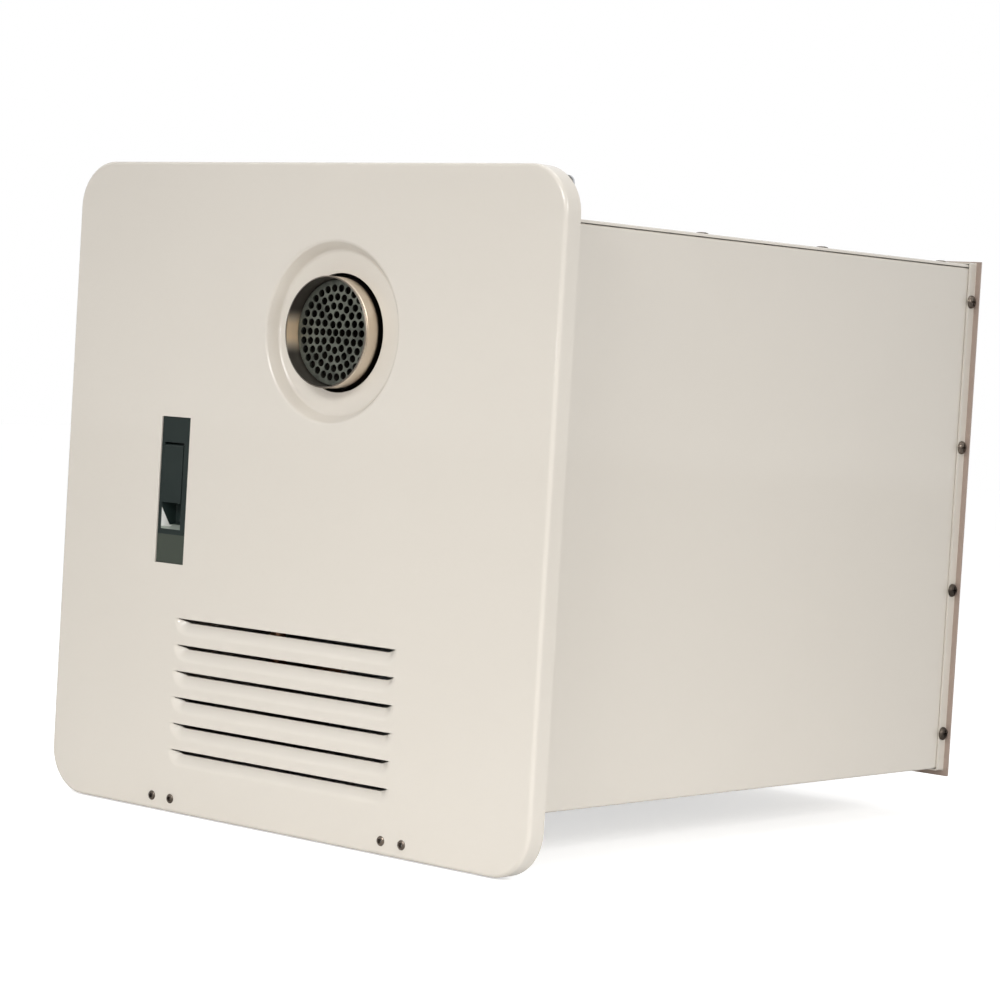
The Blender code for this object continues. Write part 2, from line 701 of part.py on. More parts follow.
def door_pan():
    """The door's pressed tray: rounded outline, rolled front edge and folded return."""
    outline = rounded_rectangle(DOOR_WIDTH, DOOR_HEIGHT, DOOR_CORNER_RADIUS, DOOR_CORNER_STEPS)
    centre = (0, (DOOR_FRONT + DOOR_BACK) / 2, -DOOR_DROP)
    slab = moved_origin(outline_solid([outline], DOOR_DEPTH, FACING_FRONT, centre), (0, 0, 0))
    bm = bmesh.new()
    bm.from_mesh(slab.data)
    bm.normal_update()
    bmesh.ops.dissolve_faces(bm, faces=[f for f in bm.faces if f.normal.y < -FLAT_SHARE])
    bmesh.ops.delete(bm, geom=[f for f in bm.faces if f.normal.y > FLAT_SHARE], context="FACES")
    front = next(f for f in bm.faces if f.normal.y < -FLAT_SHARE)
    bmesh.ops.bevel(bm, geom=list(front.edges), offset=DOOR_EDGE_RADIUS, segments=DOOR_EDGE_STEPS,
                    profile=0.5, affect="EDGES", material=-1, offset_type="OFFSET")
    bm.to_mesh(slab.data)
    bm.free()
    wall = slab.modifiers.new("sheet", "SOLIDIFY")
    wall.thickness = DOOR_SHEET
    wall.offset = -1
    wall.use_even_offset = True
    return baked(slab)


def arc(centre, radius, first, last):
    """Points of an arc in a turned profile, between two angles."""
    points = []
    for step in range(ARC_STEPS + 1):
        angle = first + (last - first) * step / ARC_STEPS
        points.append((centre[0] + radius * math.cos(angle), centre[1] + radius * math.sin(angle)))
    return points


def bowl_shape(grown, mouth):
    """The flue bowl as a solid of revolution: its hollow, or grown by a sheet its outer side.

    Heights run along the depth. The door's face is 0, and the wall joins two arcs at its own slope.
    """
    slope = BOWL_WALL_ANGLE
    bends = BOWL_ROLL_RADIUS + BOWL_FILLET_RADIUS
    wall = (BOWL_DEPTH - bends * (1 - math.cos(slope))) / math.sin(slope)
    floor_radius = BOWL_RADIUS - bends * math.sin(slope) - wall * math.cos(slope)
    quarter = math.pi / 2
    profile = [(0, BOWL_DEPTH + grown)]
    fillet_centre = (floor_radius, BOWL_DEPTH - BOWL_FILLET_RADIUS)
    profile += arc(fillet_centre, BOWL_FILLET_RADIUS + grown, quarter, quarter - slope)
    profile += arc((BOWL_RADIUS, BOWL_ROLL_RADIUS), BOWL_ROLL_RADIUS - grown, -quarter - slope, -quarter)
    profile += [(BOWL_RADIUS, mouth), (0, mouth)]
    return turned(profile, BOWL_SIDES, ALONG_Y, (FLUE_X, DOOR_FRONT, FLUE_Z))


def louvre_shape(index, reach, depth, base, front, rise):
    """One pressed louvre as a solid: a falling profile, spun a quarter turn at each end of its slit."""
    bm = bmesh.new()
    profile = [(0, front)]
    for step in range(LOUVRE_FALL_STEPS + 1):
        along = step / LOUVRE_FALL_STEPS
        fall = (1 + math.cos(math.pi * along)) / 2
        profile.append((-reach * along, base + (depth - base) * fall))
    if front < base:
        profile.append((-reach, front))
    start = bm.faces.new([bm.verts.new((across, deep, 0)) for across, deep in profile])
    straight = Vector((LOUVRE_RIGHT - LOUVRE_LEFT - 2 * LOUVRE_HEIGHT, 0, 0))
    turn = {"axis": (0, -1, 0), "angle": math.pi / 2, "steps": LOUVRE_END_STEPS}
    end = faces_of(bmesh.ops.spin(bm, geom=[start], cent=(0, 0, 0), **turn)["geom_last"])
    run = bmesh.ops.extrude_face_region(bm, geom=end)["geom"]
    moved = [part for part in run if isinstance(part, bmesh.types.BMVert)]
    bmesh.ops.translate(bm, vec=straight, verts=moved)
    run = faces_of(run)
    bmesh.ops.spin(bm, geom=run, cent=straight, **turn)
    bmesh.ops.delete(bm, geom=end + run, context="FACES_ONLY")
    bmesh.ops.remove_doubles(bm, verts=bm.verts, dist=WELD)
    bmesh.ops.recalc_face_normals(bm, faces=bm.faces)
    top = LOUVRE_TOP - index * LOUVRE_PITCH + rise
    return mesh_object(bm, Matrix.Translation((LOUVRE_LEFT + LOUVRE_HEIGHT, DOOR_FRONT, top)))


def faces_of(parts):
    return [part for part in parts if isinstance(part, bmesh.types.BMFace)]


def door_panel():
    """The door: tray, flue bowl and hole, latch window, louvres, and notches over the hinges."""
    sheet = DOOR_SHEET
    backs = [bowl_shape(sheet, sheet / 2)]
    hollows = [bowl_shape(0, -OVERRUN)]
    for index in range(LOUVRE_COUNT):
        reach, depth = LOUVRE_HEIGHT + sheet, LOUVRE_DEPTH + sheet
        backs.append(louvre_shape(index, reach, depth, sheet / 2, sheet / 2, 0))
        hollows.append(louvre_shape(index, LOUVRE_HEIGHT, LOUVRE_DEPTH, 0, -OVERRUN, LOUVRE_SLIT))
    window = centred_box((LATCH_X, DOOR_FRONT, LATCH_ROW_Z), (LATCH_WIDTH, 2 * OVERRUN, LATCH_HEIGHT))
    hole_centre = (FLUE_X, DOOR_FRONT + BOWL_DEPTH, FLUE_Z)
    hole = rod(FLUE_RADIUS + FLUE_CLEARANCE, 2 * OVERRUN, ALONG_Y, hole_centre, BOWL_SIDES)
    notches = []
    for side in (-1, 1):
        half = HINGE_WIDTH / 2 + HINGE_NOTCH_MARGIN
        middle = side * HINGE_SPREAD
        notch_front = HINGE_Y - KNUCKLE_RADIUS - HINGE_NOTCH_MARGIN
        notch_top = DOOR_BOTTOM + sheet + SEAT_GAP / 2
        notches.append(box((middle - half, notch_front, DOOR_BOTTOM - OVERRUN),
                           (middle + half, DOOR_BACK + OVERRUN, notch_top)))
        for rivet in (-1, 1):
            place = (middle + rivet * HINGE_RIVET_SPACING / 2, DOOR_FRONT, DOOR_BOTTOM + HINGE_RIVET_RISE)
            notches.append(rod(HINGE_RIVET_RADIUS, 2 * OVERRUN, ALONG_Y, place, HINGE_RIVET_SIDES))
    panel = joined(door_pan(), merged(backs))
    panel = cut(panel, merged(hollows), merged([window] + notches), hole)
    return finish_piece(panel, "door_panel", "paint")


def door_gasket():
    """A foam ring on the door's inner face that closes against the mounting flange."""
    front = DOOR_INNER + SEAT_GAP
    back = -FLANGE_SHEET - SEAT_GAP
    width, height = FLANGE_WIDTH - 2 * GASKET_INSET, FLANGE_HEIGHT - 2 * GASKET_INSET
    band = 2 * GASKET_WIDTH
    loops = [rectangle(width, height), rectangle(width - band, height - band)]
    ring = outline_solid(loops, back - front, FACING_FRONT, (0, (front + back) / 2, 0))
    return finish_piece(ring, "door_gasket", "foam", smooth=False)


def scoop_shape():
    """The finger scoop's hollow: a box whose side and bottom walls lean in towards its floor."""
    depth = SCOOP_DEPTH + OVERRUN
    back = DOOR_FRONT + LATCH_RECESS + SCOOP_DEPTH
    lean = SCOOP_TAPER * depth / SCOOP_DEPTH
    spread = lean - SCOOP_TAPER
    scoop = box((PADDLE_LEFT - spread, back - depth, SCOOP_BOTTOM - DOOR_DROP - spread),
                (PADDLE_LEFT + PADDLE_WIDTH + spread, back, PADDLE_BOTTOM - DOOR_DROP + SCOOP_UNDERCUT))
    for vert in scoop.data.vertices:
        if vert.co.y > 0:
            vert.co.x -= math.copysign(lean, vert.co.x)
            if vert.co.z < 0:
                vert.co.z += lean
    return scoop


def latch_housing():
    """The latch's moulded body: rim behind the door, paddle bay, finger scoop and pawl slot."""
    width = LATCH_WIDTH - 2 * SEAT_GAP
    height = LATCH_HEIGHT - 2 * SEAT_GAP
    front = DOOR_FRONT + LATCH_RECESS
    body = centred_box((LATCH_X, (front + LATCH_BACK) / 2, LATCH_ROW_Z), (width, LATCH_BACK - front, height))
    rim_y = DOOR_INNER + SEAT_GAP + LATCH_RIM_SHEET / 2
    rim_size = (width + 2 * LATCH_RIM, LATCH_RIM_SHEET, height + 2 * LATCH_RIM)
    rim = centred_box((LATCH_X, rim_y, LATCH_ROW_Z), rim_size)
    bay = box((PADDLE_LEFT, front - OVERRUN, PADDLE_BOTTOM - DOOR_DROP),
              (PADDLE_LEFT + PADDLE_WIDTH, BAY_BACK, PADDLE_TOP - DOOR_DROP))
    half = PAWL_WIDTH / 2 + SEAT_GAP
    slot = box((PADDLE_X - half, PIN_Y, PIN_Z - PAWL_DROP - PAWL_TRAVEL_ROOM),
               (PADDLE_X + half, LATCH_BACK + OVERRUN, PIN_Z + PAWL_RISE + RUN_GAP))
    reach = SPRING_RADIUS + SPRING_WIRE_RADIUS + SEAT_GAP
    pocket = box((PADDLE_X - reach, SPRING_Y - reach, SPRING_FLOOR),
                 (PADDLE_X + reach, SPRING_Y + reach, PIN_Z - PAWL_DROP))
    socket_length = PADDLE_WIDTH + 2 * LATCH_PIN_SOCKET
    socket = rod(LATCH_PIN_RADIUS + SEAT_GAP, socket_length, ALONG_X, (PADDLE_X, PIN_Y, PIN_Z))
    body = cut(joined(body, rim), bay, slot, pocket, scoop_shape(), socket)
    return finish_piece(body, "latch_housing", "black_plastic")


def latch_paddle():
    """The finger paddle, its hub on the pin, and the hooked pawl behind it, in one moulding."""
    width = PADDLE_WIDTH - 2 * SEAT_GAP
    left, right = PADDLE_X - width / 2, PADDLE_X + width / 2
    bottom = PADDLE_BOTTOM - DOOR_DROP + SEAT_GAP
    top = PIN_Z + PADDLE_HEAD_RISE
    back = PADDLE_FRONT + PADDLE_SHEET
    chamfer = PADDLE_HEAD_CHAMFER
    hub = PADDLE_HUB_RADIUS
    outline = [(PADDLE_FRONT, bottom), (back, bottom), (back, PIN_Z - hub), (PIN_Y + hub / 2, PIN_Z - hub),
               (PIN_Y + hub, PIN_Z), (PIN_Y + hub / 2, top), (PADDLE_FRONT + chamfer, top),
               (PADDLE_FRONT, top - chamfer)]
    plate = outline_solid([outline], width, FACING_SIDE, (PADDLE_X, 0, 0))
    low, high = PIN_Z - PAWL_DROP, PIN_Z + PAWL_RISE
    hook_back = HOOK_FACE + PAWL_HOOK_LENGTH
    pawl = [(PIN_Y, low + SEAT_GAP), (BAY_BACK, low), (hook_back, low),
            (hook_back, HOOK_TOP - PAWL_HOOK_RISE / 2), (HOOK_FACE, HOOK_TOP), (HOOK_FACE, high),
            (PIN_Y, high)]
    arm = outline_solid([pawl], PAWL_WIDTH, FACING_SIDE, (PADDLE_X, 0, 0))
    bore = rod(LATCH_PIN_RADIUS + SEAT_GAP, right - left + 2 * OVERRUN, ALONG_X, (PADDLE_X, PIN_Y, PIN_Z))
    paddle = cut(joined(plate, arm), bore)
    return finish_piece(moved_origin(paddle, (PADDLE_X, PIN_Y, PIN_Z)), "latch_paddle", "black_plastic")


def latch_pin():
    length = PADDLE_WIDTH + 2 * (LATCH_PIN_SOCKET - SEAT_GAP)
    pin = rod(LATCH_PIN_RADIUS, length, ALONG_X, (PADDLE_X, PIN_Y, PIN_Z))
    return finish_piece(pin, "latch_pin", "steel")


def latch_spring():
    """A coil under the pawl's arm that lifts the hook back behind the keeper."""
    low = SPRING_FLOOR + SEAT_GAP + SPRING_WIRE_RADIUS
    high = PIN_Z - PAWL_DROP - SEAT_GAP - SPRING_WIRE_RADIUS
    count = SPRING_CURLS * SPRING_STEPS
    points = []
    for step in range(count + 1):
        angle = 2 * math.pi * step / SPRING_STEPS
        points.append((PADDLE_X + SPRING_RADIUS * math.cos(angle),
                       SPRING_Y + SPRING_RADIUS * math.sin(angle),
                       low + (high - low) * step / count))
    return finish_piece(tube(points, SPRING_WIRE_RADIUS, 1), "latch_spring", "steel")


def hinge_door_leaf(side, name):
    """The leaf riveted inside the door: bent round the door's rolled edge, a knuckle at each end."""
    middle = side * HINGE_SPREAD
    front = DOOR_INNER + SEAT_GAP
    bottom = DOOR_BOTTOM + DOOR_SHEET + SEAT_GAP
    bend = DOOR_EDGE_RADIUS - DOOR_SHEET - SEAT_GAP
    bend_centre = (front + bend, bottom + bend)
    inner_bend = bend - HINGE_SHEET
    outline = [(front + HINGE_SHEET, bottom + HINGE_LEAF_HEIGHT), (front, bottom + HINGE_LEAF_HEIGHT)]
    outline += arc(bend_centre, bend, math.pi, 1.5 * math.pi)
    outline += [(HINGE_Y, bottom), (HINGE_Y, bottom + HINGE_SHEET)]
    outline += arc(bend_centre, inner_bend, 1.5 * math.pi, math.pi)
    leaf = outline_solid([outline], HINGE_WIDTH, FACING_SIDE, (middle, 0, 0))
    gap_size = (HINGE_WIDTH - 2 * KNUCKLE_LENGTH, 2 * (KNUCKLE_RADIUS + RUN_GAP), 2 * KNUCKLE_RADIUS)
    leaf = cut(leaf, centred_box((middle, HINGE_Y, bottom), gap_size))
    ends = []
    for end in (-1, 1):
        place = (middle + end * (HINGE_WIDTH - KNUCKLE_LENGTH) / 2, HINGE_Y, HINGE_Z)
        ends.append(rod(KNUCKLE_RADIUS, KNUCKLE_LENGTH, ALONG_X, place))
    bore = rod(HINGE_PIN_RADIUS + SEAT_GAP, HINGE_WIDTH + 2 * OVERRUN, ALONG_X, (middle, HINGE_Y, HINGE_Z))
    leaf = cut(joined(leaf, merged(ends)), bore)
    return finish_piece(leaf, name, "galvanised")


def hinge_case_leaf(side, name):
    """The leaf riveted to the mounting flange: a plate that narrows to its middle knuckle."""
    middle = side * HINGE_SPREAD
    length = HINGE_WIDTH - 2 * KNUCKLE_LENGTH - 2 * SEAT_GAP
    plate_y = -FLANGE_SHEET - SEAT_GAP - HINGE_SHEET / 2
    shoulder = HINGE_Z + KNUCKLE_RADIUS + SEAT_GAP
    foot = HINGE_Z - KNUCKLE_WALL / 2
    neck_top = shoulder + HINGE_LEAF_HEIGHT / 2
    plate = centred_box((middle, plate_y, shoulder + HINGE_LEAF_HEIGHT / 2),
                        (HINGE_WIDTH, HINGE_SHEET, HINGE_LEAF_HEIGHT))
    neck = centred_box((middle, plate_y + SEAT_GAP / 2, (foot + neck_top) / 2),
                       (length - 2 * SEAT_GAP, HINGE_SHEET - SEAT_GAP, neck_top - foot))
    axis = (middle, HINGE_Y, HINGE_Z)
    bore = rod(HINGE_PIN_RADIUS + SEAT_GAP, HINGE_WIDTH, ALONG_X, axis)
    leaf = cut(joined(plate, neck, rod(KNUCKLE_RADIUS, length, ALONG_X, axis)), bore)
    return finish_piece(leaf, name, "galvanised")


def hinge_pin(side, name):
    place = (side * HINGE_SPREAD, HINGE_Y, HINGE_Z)
    return finish_piece(rod(HINGE_PIN_RADIUS, HINGE_WIDTH, ALONG_X, place), name, "steel")


def case_wrapper():
    """The case's bottom and sides in one bent sheet, with an inward flange along each top edge."""
    half, sheet = CASE_WIDTH / 2, CASE_SHEET
    top = CASE_TOP - COVER_LIP - SEAT_GAP
    bottom = -CASE_HEIGHT / 2
    tip = half - SIDE_FLANGE
    right = [(half, bottom), (half, top), (tip, top), (tip, top - sheet), (half - sheet, top - sheet),
             (half - sheet, bottom + sheet)]
    left = [(-across, up) for across, up in reversed(right)]
    front, back = SEAT_GAP, REAR_INNER - SEAT_GAP
    wrapper = outline_solid([right + left], back - front, FACING_FRONT, (0, (front + back) / 2, 0))
    return finish_piece(wrapper, "case_wrapper", "paint")


def top_cover():
    half, sheet = CASE_WIDTH / 2, CASE_SHEET
    right = [(half - sheet, CASE_TOP - sheet), (half - sheet, CASE_TOP - COVER_LIP),
             (half, CASE_TOP - COVER_LIP), (half, CASE_TOP)]
    left = [(-across, up) for across, up in reversed(right)]
    front, back = SEAT_GAP, REAR_INNER - SEAT_GAP
    cover = outline_solid([right + left], back - front, FACING_FRONT, (0, (front + back) / 2, 0))
    return finish_piece(cover, "top_cover", "paint")


def rear_cover():
    """The rear plate with a skirt round the case, an outward lip, and holes for what passes through."""
    grow = 2 * (SEAT_GAP + CASE_SHEET)
    width, height = CASE_WIDTH + grow, CASE_HEIGHT + grow
    lips = 2 * REAR_LIP
    plate_outline = rounded_rectangle(width + lips, height + lips, REAR_CORNER_RADIUS, ARC_STEPS)
    plate = outline_solid([plate_outline], CASE_SHEET, FACING_FRONT, (0, CASE_DEPTH - CASE_SHEET / 2, 0))
    outer = rounded_rectangle(width, height, SKIRT_CORNER_RADIUS, ARC_STEPS)
    inner = rectangle(width - 2 * CASE_SHEET, height - 2 * CASE_SHEET)
    skirt_front, skirt_back = CASE_DEPTH - REAR_SKIRT, CASE_DEPTH - CASE_SHEET / 2
    skirt_middle = (0, (skirt_front + skirt_back) / 2, 0)
    skirt = outline_solid([outer, inner], skirt_back - skirt_front, FACING_FRONT, skirt_middle)
    holes = []
    for across, up in ((WATER_X, COLD_Z), (WATER_X, HOT_Z), (GAS_X, GAS_Z)):
        holes.append(rod(FITTING_RADIUS + FITTING_HOLE_GAP, 2 * OVERRUN, ALONG_Y, (across, CASE_DEPTH, up)))
    holes.append(rod(GLAND_RADIUS + FITTING_HOLE_GAP, 2 * OVERRUN, ALONG_Y, (GLAND_X, CASE_DEPTH, GLAND_Z)))
    return finish_piece(cut(joined(plate, skirt), merged(holes)), "rear_cover", "paint")


def mounting_flange():
    """The ring that closes on the wall, with a collar inside the case and holes for the wall screws."""
    collar_top = CASE_TOP - COVER_LIP - CASE_SHEET - 2 * SEAT_GAP
    collar_bottom = CASE_FLOOR + SEAT_GAP
    collar_width = 2 * (CASE_INNER_X - SEAT_GAP)
    collar_height = collar_top - collar_bottom
    collar_z = (collar_top + collar_bottom) / 2
    ring_outline = rounded_rectangle(FLANGE_WIDTH, FLANGE_HEIGHT, FLANGE_CORNER_RADIUS, FLANGE_CORNER_STEPS)
    ring = outline_solid([ring_outline], FLANGE_SHEET, FACING_FRONT, (0, -FLANGE_SHEET / 2, 0))
    collar_reach = FLANGE_COLLAR + FLANGE_SHEET / 2
    collar_y = FLANGE_COLLAR - collar_reach / 2
    collar = centred_box((0, collar_y, collar_z), (collar_width, collar_reach, collar_height))
    walls = 2 * FLANGE_SHEET
    bore_size = (collar_width - walls, 2 * (collar_reach + OVERRUN), collar_height - walls)
    bore = centred_box((0, collar_y, collar_z), bore_size)
    half_width, half_height = FLANGE_WIDTH / 2, FLANGE_HEIGHT / 2
    holes = []
    for index in range(WALL_HOLES_A_SIDE):
        share = 2 * index / (WALL_HOLES_A_SIDE - 1) - 1
        across = share * (half_width - WALL_HOLE_CORNER_ROOM)
        up = share * (half_height - WALL_HOLE_CORNER_ROOM)
        for side in (-1, 1):
            for place in ((across, 0, side * (half_height - WALL_HOLE_INSET)),
                          (side * (half_width - WALL_HOLE_INSET), 0, up)):
                holes.append(rod(WALL_HOLE_RADIUS, 2 * OVERRUN, ALONG_Y, place, SMALL_SIDES))
    return finish_piece(cut(joined(ring, collar), bore, merged(holes)), "mounting_flange", "galvanised")


def latch_keeper():
    """The spring strip that the latch's hook snaps behind."""
    bottom = HOOK_TOP - KEEPER_OVERLAP
    centre = (PADDLE_X, KEEPER_FRONT + KEEPER_SHEET / 2, bottom + KEEPER_HEIGHT / 2)
    strip = centred_box(centre, (KEEPER_WIDTH, KEEPER_SHEET, KEEPER_HEIGHT))
    return finish_piece(strip, "latch_keeper", "steel")


def keeper_bar():
    """The bar from the case's left side that carries the keeper, with a foot along the flange's collar."""
    front = KEEPER_FRONT + KEEPER_SHEET + SEAT_GAP
    left = WALL_X + FLANGE_SHEET + SEAT_GAP
    right = PADDLE_X + KEEPER_WIDTH / 2
    sheet = KEEPER_BAR_SHEET
    outline = [(left, front), (right, front), (right, front + sheet), (left + sheet, front + sheet),
               (left + sheet, front + KEEPER_BAR_FOOT), (left, front + KEEPER_BAR_FOOT)]
    middle = HOOK_TOP + RUN_GAP + KEEPER_BAR_HEIGHT / 2
    bar = outline_solid([outline], KEEPER_BAR_HEIGHT, FACING_UP, (0, 0, middle))
    return finish_piece(bar, "keeper_bar", "galvanised")


def exhaust_tube():
    """The flue's last length, with a bead round its mouth."""
    outer, inner = FLUE_RADIUS, FLUE_RADIUS - FLUE_SHEET
    end = STACK_FRONT - HOOD_COLLAR_LENGTH + FLUE_INSERTION
    bead = FLUE_BEAD
    profile = [(outer, end), (outer, FLUE_MOUTH + 2 * bead), (outer + bead, FLUE_MOUTH + bead),
               (outer, FLUE_MOUTH), (inner, FLUE_MOUTH), (inner, end)]
    flue = turned(profile, FLUE_SIDES, ALONG_Y, (FLUE_X, 0, FLUE_Z), closed=True)
    return finish_piece(flue, "exhaust_tube", "stainless")


def exhaust_screen():
    """The disc of round holes inside the flue's mouth, with a skirt that fits the tube."""
    radius = FLUE_RADIUS - FLUE_SHEET - SEAT_GAP
    sheet = SCREEN_SHEET
    inner = radius - sheet
    profile = [(0, sheet), (inner, sheet), (inner, SCREEN_SKIRT), (radius, SCREEN_SKIRT), (radius, 0), (0, 0)]
    cup = turned(profile, FLUE_SIDES, ALONG_Y, (FLUE_X, FLUE_MOUTH + SCREEN_SETBACK, FLUE_Z))
    places = [(0, 0)]
    for ring in range(1, SCREEN_RINGS + 1):
        places += circle(ring * SCREEN_RING_PITCH, ring * SCREEN_HOLES_STEP)
    holes = []
    for across, up in places:
        place = (FLUE_X + across, FLUE_MOUTH + SCREEN_SETBACK, FLUE_Z + up)
        holes.append(rod(SCREEN_HOLE_RADIUS, 2 * OVERRUN, ALONG_Y, place, SCREEN_HOLE_SIDES))
    return finish_piece(cut(cup, merged(holes)), "exhaust_screen", "stainless")


def duct(base, height, feet_only=False):
    """A length of the burner stack: four walls and an outward flange round each end."""
    sheet, flange = STACK_SHEET, 2 * STACK_FLANGE
    middle = base + height / 2
    walls = centred_box((FLUE_X, STACK_CENTRE_Y, middle), (STACK_WIDTH, STACK_DEPTH, height - sheet))
    top_size = (STACK_WIDTH + flange, STACK_DEPTH + flange, sheet)
    low_size = (STACK_WIDTH + flange, STACK_DEPTH - flange, sheet) if feet_only else top_size
    top = centred_box((FLUE_X, STACK_CENTRE_Y, base + height - sheet / 2), top_size)
    low = centred_box((FLUE_X, STACK_CENTRE_Y, base + sheet / 2), low_size)
    return joined(walls, merged([top, low]))


def duct_bore(base, height):
    size = (STACK_INNER_WIDTH, STACK_INNER_DEPTH, height + 2 * OVERRUN)
    return centred_box((FLUE_X, STACK_CENTRE_Y, base + height / 2), size)


def air_plenum():
    """The box on the case's floor that spreads the blower's air under the burner."""
    sheet = STACK_SHEET
    floor = box((FLUE_X - STACK_INNER_WIDTH / 2, STACK_FRONT + sheet, PLENUM_BASE + sheet),
                (FLUE_X + STACK_INNER_WIDTH / 2, STACK_REAR - sheet, PLENUM_BASE + PLENUM_HEIGHT + OVERRUN))
    half = BLOWER_WIDTH / 2 - BLOWER_SHEET
    inlet_low = CASE_FLOOR + SEAT_GAP + BLOWER_SHEET
    inlet_high = CASE_FLOOR + SEAT_GAP + BLOWER_OUTLET_HEIGHT - BLOWER_SHEET
    inlet = box((FLUE_X - half, STACK_REAR - OVERRUN, inlet_low),
                (FLUE_X + half, STACK_REAR + OVERRUN, inlet_high))
    plenum = cut(duct(PLENUM_BASE, PLENUM_HEIGHT, feet_only=True), floor, inlet)
    return finish_piece(plenum, "air_plenum", "galvanised")


def bar_places():
    pitch = STACK_INNER_WIDTH / BURNER_BAR_COUNT
    return [FLUE_X + (index - (BURNER_BAR_COUNT - 1) / 2) * pitch for index in range(BURNER_BAR_COUNT)]


def burner_box():
    """The duct round the burner bars, with a row of nozzle holes in its front wall."""
    holes = []
    for across in bar_places():
        place = (across, STACK_FRONT, NOZZLE_Z)
        holes.append(rod(NOZZLE_HOLE_RADIUS, 2 * OVERRUN, ALONG_Y, place, SMALL_SIDES))
    shell = cut(duct(BURNER_BASE, BURNER_HEIGHT), duct_bore(BURNER_BASE, BURNER_HEIGHT), merged(holes))
    return finish_piece(shell, "burner_box", "galvanised")


def burner_bars():
    """The burner bars on a front and a rear rail, each with a mouth for its nozzle."""
    depth = STACK_INNER_DEPTH - 2 * SEAT_GAP
    low = NOZZLE_Z - BURNER_BAR_HEIGHT / 2
    bar_size = (BURNER_BAR_WIDTH, depth, BURNER_BAR_HEIGHT)
    bars, mouths = [], []
    for across in bar_places():
        bars.append(centred_box((across, STACK_CENTRE_Y, NOZZLE_Z), bar_size))
        mouths.append(rod(BURNER_MOUTH_RADIUS, 2 * BURNER_MOUTH_DEPTH, ALONG_Y,
                          (across, STACK_CENTRE_Y - depth / 2, NOZZLE_Z), SMALL_SIDES))
    rail_size = (STACK_INNER_WIDTH - 2 * SEAT_GAP, BURNER_RAIL_DEPTH, BURNER_RAIL_HEIGHT)
    rails = []
    for side in (-1, 1):
        place = (FLUE_X, STACK_CENTRE_Y + side * (depth / 2 - BURNER_RAIL_DEPTH), low + BURNER_RAIL_HEIGHT)
        rails.append(centred_box(place, rail_size))
    comb = cut(joined(merged(bars), merged(rails)), merged(mouths))
    return finish_piece(comb, "burner_bars", "stainless", smooth=False)


def combustion_chamber():
    """The duct above the burner, with holes for the igniter and the flame sensor."""
    holes = []
    for side in (-1, 1):
        place = (FLUE_X + side * PROBE_SPREAD, STACK_FRONT, PROBE_Z)
        holes.append(rod(PROBE_HOLE_RADIUS, 2 * OVERRUN, ALONG_Y, place, SMALL_SIDES))
    shell = cut(duct(CHAMBER_BASE, CHAMBER_HEIGHT), duct_bore(CHAMBER_BASE, CHAMBER_HEIGHT), merged(holes))
    return finish_piece(shell, "combustion_chamber", "copper", smooth=False)


def heat_exchanger_shell():
    shell = cut(duct(EXCHANGER_BASE, EXCHANGER_HEIGHT), duct_bore(EXCHANGER_BASE, EXCHANGER_HEIGHT))
    return finish_piece(shell, "heat_exchanger_shell", "copper", smooth=False)


def heat_exchanger_fins():
    """The block of upright fins on flat water tubes that cross the exchanger."""
    depth = STACK_INNER_DEPTH - 2 * SEAT_GAP
    pitch = STACK_INNER_WIDTH / FIN_COUNT
    fins = []
    for index in range(FIN_COUNT):
        across = FLUE_X + (index - (FIN_COUNT - 1) / 2) * pitch
        fins.append(centred_box((across, STACK_CENTRE_Y, EXCHANGER_Z), (FIN_SHEET, depth, FIN_HEIGHT)))
    tubes = []
    for index in range(FIN_TUBE_COUNT):
        along = STACK_CENTRE_Y + (index - (FIN_TUBE_COUNT - 1) / 2) * depth / FIN_TUBE_COUNT
        tubes.append(centred_box((FLUE_X, along, EXCHANGER_Z),
                                 (STACK_INNER_WIDTH - 2 * SEAT_GAP, FIN_TUBE_WIDTH, FIN_TUBE_HEIGHT)))
    return finish_piece(joined(merged(fins), merged(tubes)), "heat_exchanger_fins", "copper", smooth=False)


def hood_shell(inset, low, top):
    """The hood's outside, or its hollow at an inset: a box that narrows at the sides and the back."""
    shell = box((STACK_LEFT + inset, STACK_FRONT + inset, low),
                (STACK_RIGHT - inset, STACK_REAR - inset, top))
    for vert in shell.data.vertices:
        if vert.co.z > 0:
            vert.co.x -= math.copysign(HOOD_TAPER, vert.co.x)
            if vert.co.y > 0:
                vert.co.y -= HOOD_TAPER
    return shell


def exhaust_hood():
    """The hood over the exchanger that turns the exhaust forward into the flue's collar."""
    sheet = STACK_SHEET
    top = HOOD_BASE + HOOD_HEIGHT
    flange = centred_box((FLUE_X, STACK_CENTRE_Y, HOOD_BASE + sheet / 2),
                         (STACK_WIDTH + 2 * STACK_FLANGE, STACK_DEPTH + 2 * STACK_FLANGE, sheet))
    collar_radius = FLUE_RADIUS + SEAT_GAP + HOOD_COLLAR_SHEET
    collar_front = STACK_FRONT - HOOD_COLLAR_LENGTH
    collar_back = STACK_FRONT + sheet / 2
    collar = rod(collar_radius, collar_back - collar_front, ALONG_Y,
                 (FLUE_X, (collar_front + collar_back) / 2, FLUE_Z), FLUE_SIDES)
    bore_length = 2 * (HOOD_COLLAR_LENGTH + OVERRUN)
    bore = rod(FLUE_RADIUS + SEAT_GAP, bore_length, ALONG_Y, (FLUE_X, STACK_FRONT, FLUE_Z), FLUE_SIDES)
    hood = joined(hood_shell(0, HOOD_BASE + sheet / 2, top), flange, collar)
    hood = cut(hood, hood_shell(sheet, HOOD_BASE - OVERRUN, top - sheet), bore)
    return finish_piece(hood, "exhaust_hood", "galvanised")


